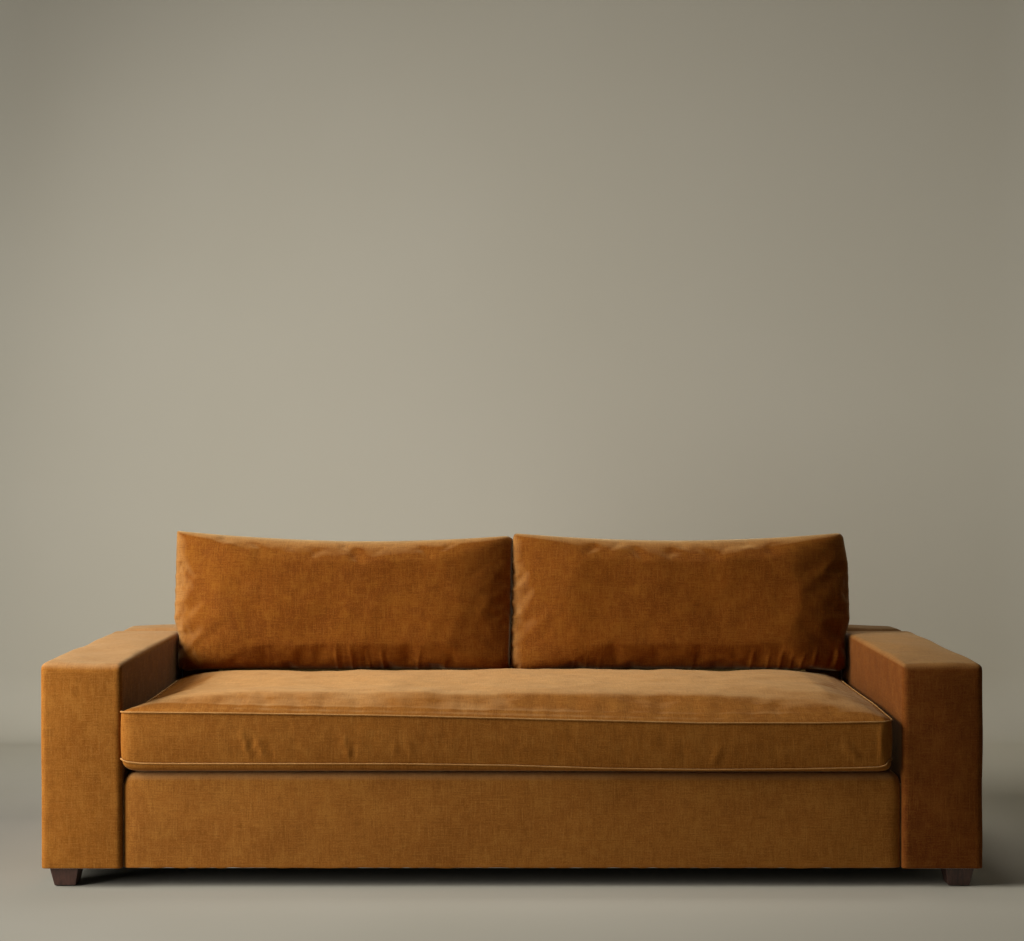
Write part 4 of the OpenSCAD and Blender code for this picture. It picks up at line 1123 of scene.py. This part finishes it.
LEFT_MARKS = [
    ((-0.27, -0.205), (-0.37, -0.150), 0.009, 0.0030),
    ((-0.22, -0.205), (-0.31, -0.165), 0.008, 0.0028),
    ((-0.18, -0.205), (-0.25, -0.175), 0.008, 0.0022),
    ((-0.41, -0.195), (-0.45, -0.120), 0.012, 0.0030),
    ((-0.015, -0.212), (-0.018, -0.135), 0.0055, 0.0042),
    ((0.000, -0.212), (0.000, -0.13), 0.0045, -0.0024),
    ((0.028, -0.212), (0.025, -0.125), 0.0055, 0.0040),
    ((0.045, -0.212), (0.043, -0.15), 0.005, -0.0022),
    ((0.078, -0.212), (0.075, -0.150), 0.0055, 0.0034),
    ((0.119, -0.212), (0.117, -0.145), 0.0055, 0.0038),
    ((0.132, -0.212), (0.132, -0.15), 0.005, -0.0022),
    ((0.222, -0.212), (0.232, -0.14), 0.006, 0.0032),
    ((0.30, -0.212), (0.31, -0.17), 0.008, 0.0018),
]
RIGHT_MARKS = [
    ((0.205, -0.212), (0.213, -0.150), 0.0055, 0.0034),
    ((0.255, -0.212), (0.260, -0.155), 0.0055, 0.0030),
    ((0.290, -0.212), (0.298, -0.145), 0.0055, 0.0038),
    ((0.320, -0.212), (0.332, -0.150), 0.0060, 0.0034),
    ((0.350, -0.212), (0.365, -0.150), 0.0060, 0.0030),
    ((0.385, -0.212), (0.402, -0.140), 0.0065, 0.0030),
    ((0.455, -0.200), (0.480, -0.110), 0.010, 0.0040),
    ((0.435, -0.205), (0.470, -0.130), 0.008, -0.0024),
    ((-0.320, -0.212), (-0.318, -0.165), 0.0055, 0.0026),
    ((-0.285, -0.212), (-0.280, -0.160), 0.0055, 0.0026),
    ((-0.245, -0.212), (-0.240, -0.170), 0.0055, 0.0022),
    ((0.03, -0.212), (0.04, -0.17), 0.008, 0.0018),
]


def blunt(px, py, a, b, radii):
    """The points of a cushion's plane with the outline's four corners rounded. radii has a radius
    for each corner, named by the signs of its sides."""
    for (right, top), radius in radii.items():
        qx = (right * px - (a - radius)) / radius
        qy = (top * py - (b - radius)) / radius
        inside = (qx > 0) & (qy > 0)
        share = np.where(inside, np.maximum(qx, qy) / np.maximum(np.hypot(qx, qy), 1e-9), 1)
        px = np.where(inside, right * (a - radius + radius * qx * share), px)
        py = np.where(inside, top * (b - radius + radius * qy * share), py)
    return px, py


def back_cushion(side, seat_top):
    """A back cushion: its stuffing and its two velvet panels. seat_top is what it stands on."""
    name = "right_back" if side > 0 else "left_back"
    body = name + "_cushion"
    low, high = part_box(name + "_front_panel")
    middle = (low.x + high.x) / 2
    a, b = (high.x - low.x) / 2, BACK_CUSHION_H / 2
    base_z = high.z - BACK_CUSHION_H * math.cos(RAKE)
    base_y = lean_y(base_z, -(REAR_SWELL + 0.0004))
    rise = TOP_RISE[side]
    up = np.array([0, math.sin(RAKE), math.cos(RAKE)])
    out = np.array([0, -math.cos(RAKE), math.sin(RAKE)])
    origin = np.array([middle, base_y, base_z])

    def shaped(uv, sides):
        """The cushion's own form for the points of its grid."""
        x, y = uv[:, 0], uv[:, 1]
        outward = side * x
        px, py = blunt(a * x, b * y, a, b, {
            (side, 1): EAR_R[side], (-side, 1): INNER_EAR_R,
            (side, -1): FOOT_CORNER_R, (-side, -1): FOOT_CORNER_R})
        dip = np.where(y > 0, y * TOP_DIP * (1 - x ** 2), 0)
        dip -= ramp(y, 0.2, 1) * np.interp(outward, (-1, 0, 1), rise)
        groove = (EAR_LIFT + ZIP_RECESS * (1 - ramp(np.abs(x), 0.86, 1.0))) * ramp(-y, 0.955, 1.0)
        over_arm = ramp(y, -0.5, -0.2)
        if side > 0:
            over_arm = over_arm * (1 - 0.8 * ramp(y, 0.5, 1.0))
        px += side * ramp(outward, 0.3, 1.0) * OVER_ARM * over_arm
        px -= side * ramp(-outward, 0.8, 1.0) * TOUCH_SWELL * (1 - y ** 8)

        def dome(across, top, foot):
            """The swelling's share of its height, which falls to 0 at the seam."""
            upright = np.abs(y) ** np.where(y < 0, foot, top)
            return np.sqrt(np.clip((1 - np.abs(x) ** across) * (1 - upright), 0, 1))

        w = np.where(sides > 0, FRONT_SWELL * 0.93 * dome(*FRONT_DOME),
                     -REAR_SWELL * 0.95 * dome(*REAR_DOME))
        tall = b + py - dip + groove
        return origin + px[:, None] * np.array([1.0, 0, 0]) + w[:, None] * out + tall[:, None] * up

    def laid_out(uv, sides):
        """The grid's points on two flat sheets that meet at the rim."""
        edge = np.minimum((1 - np.abs(uv[:, 0])) * a, (1 - np.abs(uv[:, 1])) * b)
        return np.stack([a * uv[:, 0], b * uv[:, 1], sides * edge], axis=1)

    uv, sides, quads, kinds, rim = cushion_grid(*CUSHION_GRID)
    x, y = uv[:, 0], uv[:, 1]
    flat_uv = np.stack([a * x + middle, b * y + np.where(sides > 0, 0, 1.3)], axis=1)
    edge = np.minimum(1 - np.abs(x), 1 - np.abs(y))
    points = shaped(uv, sides)
    grid, halves, faces, _, held = cushion_grid(*CUSHION_CLOTH_GRID)
    at_sides = 1 - ramp((1 - np.abs(grid[:, 0])) * a, 0.01, 0.09)
    at_foot = 1 - ramp((1 + grid[:, 1]) * b, 0.01, 0.08)
    slack = np.clip(0.25 + 0.5 * at_sides + 0.35 * at_foot, 0, 1)
    move = puff(make_piece(name + "_cloth", shaped(grid, halves), faces), pressure=2.4,
                frames=20, pinned=held, stretch=slack, grow=0.03, bending=0.6, cap=0.024)
    points = points + carried_over(laid_out(grid, halves), move, laid_out(uv, sides), 0.010
                                   ) * (~rim)[:, None]
    whole = make_piece(name + "_shape", points, quads, flat_uv[quads.ravel()])
    p = points_of(whole)
    n = normals_of(whole)
    marks = RIGHT_MARKS if side > 0 else LEFT_MARKS
    depth = folds(np.stack([a * x, b * y], axis=1), marks)
    dents = 0.0014 * ripple(p, 91 + side, 0.2) + 0.0004 * ripple(p, 95 + side, 0.07)
    from_seam = (1 - np.abs(x)) * a
    gathers = PUCKER_DEPTH * np.exp(-((from_seam - 0.012) / 0.014) ** 2) * np.cos(
        2 * math.pi * (b * y + 0.006 * np.sin(31 * y)) / PUCKER_STEP)
    gathers *= ramp(0.9 - np.abs(y + 0.1), 0, 0.4) * (0.35 + 0.65 * ramp(-x, -1, 1))
    lift = np.where(sides > 0, depth + gathers + dents * ramp(edge, 0, 0.2), 0)
    p += n * lift[:, None]
    p = clear_of_neighbours(p, side, seat_top, base_y + b * math.sin(RAKE))
    set_points(whole, p)
    stuffing = inner_layer(name + "_stuffing", whole, UNDER_PANEL)
    finish_soft(stuffing, 0.6, wadding, "wadding", body, name + "_filling")
    panels = split_panels(whole, kinds, ((name + "_front_velvet", [0]),
                                         (name + "_rear_velvet", [1])))
    for panel, node in zip(panels, (name + "_front_panel", name + "_rear_panel")):
        thicken(soften(panel), PANEL_T)
        finish_soft(panel, 0.7, cushion_velvet, "velvet", body, node)


def clear_of_neighbours(p, side, seat_top, touch_y):
    """Keeps a back cushion off the seat, the back, the arm beside it and the other cushion. The
    two cushions meet on a slightly slanted plane, so that no light shows between them."""
    touch_gap, seat_gap, seat_reach, leans_past = 0.0007, 0.0008, 0.56, 0.022
    arm_low, arm_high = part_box("right_arm_cover")
    over_arm = ramp(p[:, 2], arm_high.z - 0.002, arm_high.z + 0.03)
    reach = arm_low.x - CLEARANCE + (OVER_ARM + 0.002) * over_arm
    contact = side * TOUCH_SLANT * (p[:, 1] - touch_y) + touch_gap
    p[:, 0] = side * np.clip(side * p[:, 0], contact, reach)
    rest = lean_y(np.minimum(p[:, 2], arm_high.z - BACK_EDGE_R)) - CLEARANCE
    in_reach = p[:, 2] < arm_high.z + leans_past
    p[:, 1] = np.where(in_reach, np.minimum(p[:, 1], rest), p[:, 1])
    for k in np.flatnonzero(p[:, 2] < seat_reach):
        hit = seat_top.ray_cast(Vector((p[k, 0], p[k, 1], 0.9)), Vector((0, 0, -1)))
        if hit[0] is not None:
            p[k, 2] = max(p[k, 2], hit[0].z + seat_gap)
    return p


# What repeats along a line

def repeat_tree():
    """Copies the piece that it is given along a straight line, each a little turned."""
    tree = bpy.data.node_groups.new("repeat_along_line", "GeometryNodeTree")
    for name, kind in (("Piece", "Geometry"), ("Count", "Int"), ("Start", "Vector"),
                       ("Step", "Vector"), ("Unevenness", "Float"), ("Material", "Material")):
        tree.interface.new_socket(name, in_out="INPUT", socket_type="NodeSocket" + kind)
    tree.interface.new_socket("Row", in_out="OUTPUT", socket_type="NodeSocketGeometry")
    enter, leave, line, copies, chance, sized, real, paint = (tree.nodes.new(kind) for kind in (
        "NodeGroupInput", "NodeGroupOutput", "GeometryNodeMeshLine",
        "GeometryNodeInstanceOnPoints", "FunctionNodeRandomValue", "ShaderNodeVectorMath",
        "GeometryNodeRealizeInstances", "GeometryNodeSetMaterial"))
    line.mode = "OFFSET"
    chance.data_type = "FLOAT_VECTOR"
    chance.inputs["Min"].default_value = (-1, -1, -1)
    chance.inputs["Max"].default_value = (1, 1, 1)
    seed = [q for q in chance.inputs if q.name == "Seed" and q.enabled][0]
    seed.default_value = 7
    sized.operation = "SCALE"
    for source, output, target, entry in (
            (enter, "Count", line, "Count"), (enter, "Start", line, "Start Location"),
            (enter, "Step", line, "Offset"), (line, "Mesh", copies, "Points"),
            (enter, "Piece", copies, "Instance"), (chance, "Value", sized, 0),
            (enter, "Unevenness", sized, "Scale"), (sized, "Vector", copies, "Rotation"),
            (copies, "Instances", real, "Geometry"), (real, "Geometry", paint, "Geometry"),
            (enter, "Material", paint, "Material"), (paint, "Geometry", leave, "Row")):
        tree.links.new(source.outputs[output], target.inputs[entry])
    return tree


REPEAT = repeat_tree()


def row_of(name, piece, count, start, step, material, unevenness=0.0):
    """A plain mesh with the piece repeated count times from start."""
    maker = piece.modifiers.new("row", "NODES")
    maker.node_group = REPEAT
    wanted = {"Count": count, "Start": start, "Step": step, "Unevenness": unevenness,
              "Material": material}
    for socket in REPEAT.interface.items_tree:
        if socket.in_out == "INPUT" and socket.name in wanted:
            maker[socket.identifier] = wanted[socket.name]
    piece.update_tag()
    bpy.context.view_layer.update()
    seen = piece.evaluated_get(bpy.context.evaluated_depsgraph_get())
    mesh = bpy.data.meshes.new_from_object(seen)
    mesh.name = name
    bpy.data.objects.remove(piece)
    return add_object(name, mesh)


def rounded_path(corners, reach, steps):
    """The path through the corners with each of them rounded off."""
    path = [corners[0]]
    for before, here, after in zip(corners, corners[1:], corners[2:]):
        here = np.array(here, float)
        back, on = np.array(before) - here, np.array(after) - here
        a = here + back * min(0.5, reach / np.linalg.norm(back))
        c = here + on * min(0.5, reach / np.linalg.norm(on))
        for t in np.linspace(0, 1, steps):
            path.append((1 - t) ** 2 * a + 2 * t * (1 - t) * here + t * t * c)
    path.append(corners[-1])
    return np.array(path)


def springs():
    """Sinuous springs bent from round wire, side by side across the seat."""
    low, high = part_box("seat_springs")
    arm_low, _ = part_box("right_arm_cover")
    y0, y1 = low.y + WIRE_T / 2, high.y - WIRE_T / 2
    pitch = (y1 - y0) / (SPRING_BARS - 1)
    reach, out = SPRING_BAR_W / 2, SPRING_BAR_W / 2 + SPRING_BEND * pitch
    z = (low.z + high.z) / 2
    corners = []
    for k in range(SPRING_BARS):
        way, y = (1 if k % 2 == 0 else -1), y0 + k * pitch
        corners += [(-way * reach, y, z), (way * reach, y, z)]
        if k < SPRING_BARS - 1:
            corners += [(way * out, y + 0.2 * pitch, z), (way * out, y + 0.8 * pitch, z)]
    path = rounded_path(corners, SPRING_BEND_R, 4)
    wire = tube("spring_wire", path, WIRE_T / 2, closed=False, around=8)
    step = 2 * arm_low.x / SPRING_COUNT
    row = row_of("seat_spring_wires", wire, SPRING_COUNT, (0.5 * step - arm_low.x, 0, 0),
                 (step, 0, 0), steel)
    row.data.shade_smooth()
    finish_piece(row, steel, "spring_steel", "frame", "seat_springs")


def straps():
    """Jute straps stretched over the back's posts and inside the arms."""
    low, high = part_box("back_webbing")
    arm_low, arm_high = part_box("arm_webbing")
    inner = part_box("right_arm_cover")[0].x

    def strap(name, centre, along, across, length):
        n, m = max(2, round(length / 0.02)), 6
        points, uvs, faces = [], [], []
        for i in range(n + 1):
            for j in range(m + 1):
                t, q = i / n, j / m - 0.5
                points.append(centre + along * (t - 0.5) * length + across * q * STRAP_W)
                uvs.append((q * STRAP_W, t * length))
        for i in range(n):
            for j in range(m):
                v = i * (m + 1) + j
                faces.append((v, v + 1, v + m + 2, v + m + 1))
        return make_piece(name, points, faces, [uvs[v] for f in faces for v in f])

    def finished(name, parts, node):
        whole = thicken(join_pieces(name, parts), STRAP_T * 0.9, 0)
        finish_piece(whole, strap_cloth, "webbing", "frame", node)

    lean = np.array([0, math.sin(RAKE), math.cos(RAKE)])
    z_mid = (low.z + high.z) / 2
    length = (high.z - low.z) / math.cos(RAKE) - 0.001
    shares = (-0.87, -0.63, -0.37, -0.13, 0.13, 0.37, 0.63, 0.87)
    parts = [strap(f"strap_{i}", np.array([s * inner, lean_y(z_mid, 0.015), z_mid]), lean,
                   np.array([1.0, 0, 0]), length) for i, s in enumerate(shares)]
    finished("back_straps", parts, "back_webbing")

    span = lean_y(ARM_BOARD_Z, 0.016) - ARM_PANEL_Y
    parts = []
    for way in (-1, 1):
        for share in (0.2, 0.5, 0.8):
            centre = (way * (inner + 0.015), ARM_PANEL_Y + share * span, (arm_low.z + arm_high.z) / 2)
            parts.append(strap(f"arm_strap_{way}_{share}", np.array(centre), np.array([0, 0, 1.0]),
                               np.array([0, 1.0, 0]), arm_high.z - arm_low.z - 0.001))
    finished("arm_straps", parts, "arm_webbing")


LEGS = ("front_left_leg", "front_right_leg", "rear_left_leg", "rear_right_leg", "center_leg")


def legs():
    """Tapered block legs with eased edges."""
    for name in LEGS:
        low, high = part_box(name)
        x, y = (low.x + high.x) / 2, (low.y + high.y) / 2
        top = (high.x - low.x) / 2
        foot = top * LEG_TAPER
        shape = bmesh.new()
        rings = []
        for half, z in ((foot, low.z), ((foot + top) / 2, (low.z + high.z) / 2), (top, high.z)):
            rings.append([shape.verts.new((x + i * half, y + j * half, z))
                          for i, j in ((-1, -1), (1, -1), (1, 1), (-1, 1))])
        shape.faces.new(rings[0][::-1])
        shape.faces.new(rings[2])
        for a, b in zip(rings, rings[1:]):
            for k in range(4):
                shape.faces.new((a[k], a[(k + 1) % 4], b[(k + 1) % 4], b[k]))
        bmesh.ops.recalc_face_normals(shape, faces=shape.faces)
        edges = [e for e in shape.edges if e.calc_face_angle() > 0.5
                 and not all(abs(v.co.z - high.z) < 1e-6 for v in e.verts)]
        bmesh.ops.bevel(shape, geom=edges, offset=LEG_EASE_R, segments=3, affect="EDGES", profile=0.5)
        finish_piece(from_bmesh(name + "_wood", shape), leg_wood, "leg_wood", "frame", name)


def dust_sheet():
    """Black cambric stapled under the frame, cut round the legs, sagging a little between them."""
    low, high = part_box("dust_cover")
    cut_room, nearest, deepest = 0.001, 0.006, 0.004
    squares = []
    for name in LEGS:
        a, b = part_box(name)
        squares.append((a.x - cut_room, b.x + cut_room, a.y - cut_room, b.y + cut_room))

    def lines(lo, hi, edges):
        """Grid lines from lo to hi, with one on each edge and no other close to it."""
        base = np.linspace(lo, hi, max(2, round((hi - lo) / DUST_CELL)))
        keep = [v for v in base if min(abs(v - e) for e in edges) > nearest]
        return np.array(sorted(set(keep) | set(e for e in edges if lo < e < hi) | {lo, hi}))

    xs = lines(low.x, high.x, [e for q in squares for e in q[:2]])
    ys = lines(low.y, high.y, [e for q in squares for e in q[2:]])
    n = len(ys)
    points, faces = [], []
    for x in xs:
        for y in ys:
            from_edge = min(x - low.x, high.x - x, y - low.y, high.y - y)
            from_leg = min(math.hypot(x - (q[0] + q[1]) / 2, y - (q[2] + q[3]) / 2) for q in squares)
            sag = deepest * float(ramp(from_edge, 0.0, 0.25) * ramp(from_leg, 0.06, 0.3))
            points.append((x, y, high.z - sag))
    for i in range(len(xs) - 1):
        for j in range(n - 1):
            x, y = (xs[i] + xs[i + 1]) / 2, (ys[j] + ys[j + 1]) / 2
            if not any(q[0] < x < q[1] and q[2] < y < q[3] for q in squares):
                faces.append((i * n + j, i * n + j + 1, (i + 1) * n + j + 1, (i + 1) * n + j))
    used, faces = np.unique(np.array(faces), return_inverse=True)
    faces = faces.reshape(-1, 4)
    points = np.array(points)[used]
    sheet = make_piece("dust_cambric", points, faces, points[faces.ravel()][:, :2])
    thicken(sheet, high.z - low.z)
    finish_piece(sheet, cambric, "cambric", "frame", "dust_cover")


def zip_tooth():
    """One tooth from each side of a coarse zip, locked together. A tooth is a shank and a head."""
    shape = bmesh.new()
    for side in (-1, 1):
        x = side * 0.0007
        for y0, y1, half, tall in ((-0.0013, 0.0002, 0.00045, 0.0008),
                                   (0.0002, 0.0010, 0.0006, 0.00095)):
            corners = [shape.verts.new((x + i * half, side * y, k * tall))
                       for k in (-1, 1) for y in (y0, y1) for i in (-1, 1)]
            for f in ((0, 1, 3, 2), (4, 6, 7, 5), (0, 4, 5, 1), (2, 3, 7, 6), (0, 2, 6, 4),
                      (1, 5, 7, 3)):
                shape.faces.new([corners[v] for v in f])
    bmesh.ops.recalc_face_normals(shape, faces=shape.faces)
    return from_bmesh("zip_tooth", shape)


def zips():
    """The three zips: a chain of brass teeth and a slider on each."""
    for name, body, runner_body, length in (
            ("seat", "seat_cushion", "seat_slider", SEAT_ZIP_L),
            ("left_back", "left_back_cushion", "left_slider", BACK_ZIP_L),
            ("right_back", "right_back_cushion", "right_slider", BACK_ZIP_L)):
        low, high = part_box(name + "_zip")
        middle = Vector((low + high) / 2)
        turn = Matrix.Rotation(math.radians(90) if name == "seat" else -RAKE, 4, "X")
        count = int((length - 0.002) / ZIP_PITCH)
        teeth = row_of(name + "_zip_teeth", zip_tooth(), count,
                       (-(count - 1) * ZIP_PITCH / 2, 0, 0), (ZIP_PITCH, 0, 0), brass)
        teeth.data.transform(Matrix.Translation(middle) @ turn)
        finish_piece(teeth, brass, "zip_brass", body, name + "_zip")
        low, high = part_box(name + "_zip_slider")
        middle.x = (low.x + high.x) / 2
        runner = zip_runner(name + "_zip_runner")
        runner.data.transform(Matrix.Translation(middle) @ turn)
        finish_piece(runner, brass, "zip_brass", runner_body, name + "_zip_slider")


def zip_runner(name):
    """A locking slider: two wings round the chain, shoulders at one end, a lug on its back."""
    shape = bmesh.new()
    inner, wall, tall, crown, base = 0.0018, 0.0012, 0.0010, 0.0013, 0.0003
    rings = []
    for x, share in ((-0.006, 0.85), (-0.0045, 1.0), (0.001, 1.0), (0.006, 0.92)):
        o = inner + wall * share
        outline = [(-o, tall), (-o, -tall - crown), (o, -tall - crown), (o, tall), (inner, tall),
                   (inner, -tall - base), (-inner, -tall - base), (-inner, tall)]
        rings.append([shape.verts.new((x, y, z)) for y, z in outline])
    for a, b in zip(rings, rings[1:]):
        for k in range(8):
            shape.faces.new((a[k], a[(k + 1) % 8], b[(k + 1) % 8], b[k]))
    shape.faces.new(rings[0])
    shape.faces.new(rings[-1][::-1])
    bmesh.ops.recalc_face_normals(shape, faces=shape.faces)
    edges = [e for e in shape.edges if e.calc_face_angle() > 0.7]
    bmesh.ops.bevel(shape, geom=edges, offset=0.00022, segments=2, affect="EDGES", profile=0.5)
    return from_bmesh(name, shape)


# Floor, light and camera

# Painted light and shade on the backdrop: its tones run from dark on the left, where the windows light
# it most, to pale on the right, where they light it least, and the floor's are darker than the wall's,
# against the stronger light on the floor.
WALL_TONES = ((0.40, 0.380, 0.315), (0.745, 0.705, 0.580))
FLOOR_TONES = ((0.160, 0.152, 0.126), (0.62, 0.585, 0.478))
PALE = (0.36, 0.34, 0.28)
PHOTO_FOCUS = 1840
PHOTO_WIDTH = 1024
SENSOR = 36.0
EYE = (0.0, -5.266, 1.134)
EYE_DOWN = 0.64
DAYLIGHT = (1.0, 0.97, 0.92)


def backdrop_finish(name, hidden_from):
    """Greige paper, paler for the eye where no lamp reaches: far away, and behind the wall."""
    m = Nodes(name)
    place = m.coordinates("Object")
    across = m.add("SeparateXYZ")
    m.link(place, across.inputs[0])
    x, y = across.outputs["X"], across.outputs["Y"]
    clouds = m.noise(place, 0.7, 3.0, 0.5)
    # Painted shade on the left and painted light on the right of the paper, with a darker floor than
    # wall, evening out the windows' light.
    wall = m.mix(m.spread(x, -2.4, 2.4), *WALL_TONES)
    ground = m.mix(m.spread(x, -1.5, 1.5), *FLOOR_TONES)
    tone = m.mix(m.spread(y, 0.4, 1.7), ground, wall)
    tone = m.mix(m.spread(clouds, 0.3, 0.7, 0.0, 0.05), tone, (1, 1, 1))
    m.set(Base_Color=tone, Roughness=0.95, Specular_IOR_Level=0.1)
    reach = m.maths("SQRT", m.maths("ADD", m.maths("MULTIPLY", x, x), m.maths("MULTIPLY", y, y)), 0)
    unlit = m.maths("MAXIMUM", m.spread(reach, 2.8, 3.9), m.spread(y, hidden_from, hidden_from + 0.08))
    seen = m.maths("MULTIPLY", unlit, m.add("LightPath").outputs["Is Camera Ray"])
    pale = m.add("Emission")
    pale.inputs["Color"].default_value = (*PALE, 1)
    both = m.add("MixShader")
    m.link(seen, both.inputs[0])
    m.link(m.shader.outputs[0], both.inputs[1])
    m.link(pale.outputs[0], both.inputs[2])
    return m, both


def studio():
    """A floor, and a wall that curves up out of it and shows from its front only."""
    half, bend_r, wall_y, top_z = 9.0, 0.25, 2.05, 7.0
    corners = [(-half, -half, 0), (half, -half, 0), (half, half, 0), (-half, half, 0)]
    ground = make_piece("studio_floor", corners, [(0, 1, 2, 3)])
    m, paper = backdrop_finish("greige_floor", wall_y - bend_r)
    m.link(paper.outputs[0], m.tree.nodes["Material Output"].inputs["Surface"])
    ground.data.materials.append(m.material)
    profile = []
    for t in np.linspace(0, math.pi / 2, 17):
        profile.append((wall_y - bend_r + bend_r * math.sin(t),
                        0.0005 + bend_r - bend_r * math.cos(t)))
    profile.append((wall_y, top_z))
    points = [(s * half, y, z) for y, z in profile for s in (-1, 1)]
    faces = [(2 * i, 2 * i + 1, 2 * i + 3, 2 * i + 2) for i in range(len(profile) - 1)]
    wall = make_piece("studio_wall", points, faces)
    m, paper = backdrop_finish("greige_wall", 2 * half)
    one_sided = m.add("MixShader")
    m.link(m.add("NewGeometry").outputs["Backfacing"], one_sided.inputs[0])
    m.link(paper.outputs[0], one_sided.inputs[1])
    m.link(m.add("BsdfTransparent").outputs[0], one_sided.inputs[2])
    m.link(one_sided.outputs[0], m.tree.nodes["Material Output"].inputs["Surface"])
    wall.data.materials.append(m.material)


def lamp(name, place, aim, size, power, spread=180):
    """A daylight window of soft light. spread is the angle of its cone in degrees."""
    data = bpy.data.lights.new(name, "AREA")
    data.spread = math.radians(spread)
    data.shape = "RECTANGLE"
    data.size, data.size_y = size
    data.energy = power
    data.color = DAYLIGHT
    light = add_object(name, data)
    light.location = place
    light.rotation_euler = (Vector(aim) - Vector(place)).to_track_quat("-Z", "Y").to_euler()
    light.visible_camera = False


def surroundings():
    """A weak even light, and a pale background where the camera looks past the backdrop."""
    world = bpy.data.worlds.new("studio_air")
    bpy.context.scene.world = world
    world.use_nodes = True
    tree = world.node_tree
    air = tree.nodes["Background"]
    air.inputs["Color"].default_value = (0.95, 0.97, 1.0, 1)
    air.inputs["Strength"].default_value = 0.015
    pale = tree.nodes.new("ShaderNodeBackground")
    pale.inputs["Color"].default_value = (*PALE, 1)
    path = tree.nodes.new("ShaderNodeLightPath")
    both = tree.nodes.new("ShaderNodeMixShader")
    seen = path.outputs["Is Camera Ray"]
    for ray in ("Is Glossy Ray", "Is Transmission Ray"):
        either = tree.nodes.new("ShaderNodeMath")
        either.operation = "MAXIMUM"
        tree.links.new(seen, either.inputs[0])
        tree.links.new(path.outputs[ray], either.inputs[1])
        seen = either.outputs[0]
    tree.links.new(seen, both.inputs[0])
    tree.links.new(air.outputs[0], both.inputs[1])
    tree.links.new(pale.outputs[0], both.inputs[2])
    tree.links.new(both.outputs[0], tree.nodes["World Output"].inputs["Surface"])


def lights_and_camera():
    """Windows to the left as in the photograph, weak fills, and the photograph's eye."""
    lamp("high_window", (-3.4, -1.6, 2.4), (-0.3, 0.0, 0.4), (1.3, 1.6), 86)
    lamp("low_window", (-2.6, -1.6, 0.9), (-0.5, -0.3, 0.3), (0.9, 1.2), 46)
    lamp("side_window", (-3.3, -0.8, 2.4), (0.5, -0.1, 0.4), (1.0, 1.4), 40, 120)
    lamp("top_light", (-0.1, 0.1, 2.4), (-0.1, 0.0, 0.0), (2.2, 0.5), 3.0, 50)
    lamp("wall_wash", (3.3, 0.5, 1.4), (1.2, 2.05, 1.0), (1.0, 1.6), 2.5, 150)
    lamp("rear_fill", (0.0, 1.85, 0.75), (0.0, 0.5, 0.42), (1.6, 0.4), 5, 105)
    surroundings()
    data = bpy.data.cameras.new("eye")
    data.sensor_width = SENSOR
    data.lens = SENSOR * PHOTO_FOCUS / PHOTO_WIDTH
    data.clip_end = 60
    eye = add_object("eye", data)
    eye.location = EYE
    eye.rotation_euler = (math.radians(90 - EYE_DOWN), 0, 0)
    bpy.context.scene.camera = eye
    bpy.context.scene.view_settings.view_transform = "Standard"


lights_and_camera()
studio()
for arm_side in (-1, 1):
    arm(arm_side)
back()
rail()
seat_top, seat_boxing, seat_bottom = seat_cushion()
seat_welts(seat_top, seat_bottom)
seat_tree = BVHTree.FromPolygons(
    [v.co.copy() for v in seat_top.data.vertices],
    [list(f.vertices) for f in seat_top.data.polygons])
for cushion_side in (-1, 1):
    back_cushion(cushion_side, seat_tree)

springs()
straps()
legs()
dust_sheet()
zips()

FINISHES = {
    timber: ("front_rail", "rear_rail", "spring_rail", "side_rails", "cross_rails", "leg_blocks",
             "arm_inner_rails", "arm_studs", "back_end_posts", "back_posts", "back_lower_rails"),
    plywood: ("arm_front_panels", "arm_rear_panels", "arm_top_boards", "arm_side_panels",
              "back_top_board", "back_outer_panel"),
    steel: ("spring_clips", "spring_tie_wires", "leg_bolts", "leg_tee_nuts"),
    nylon: ("floor_glides",),
}
for finish, members in FINISHES.items():
    for member in members:
        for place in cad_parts[member].material_slots:
            place.material = finish
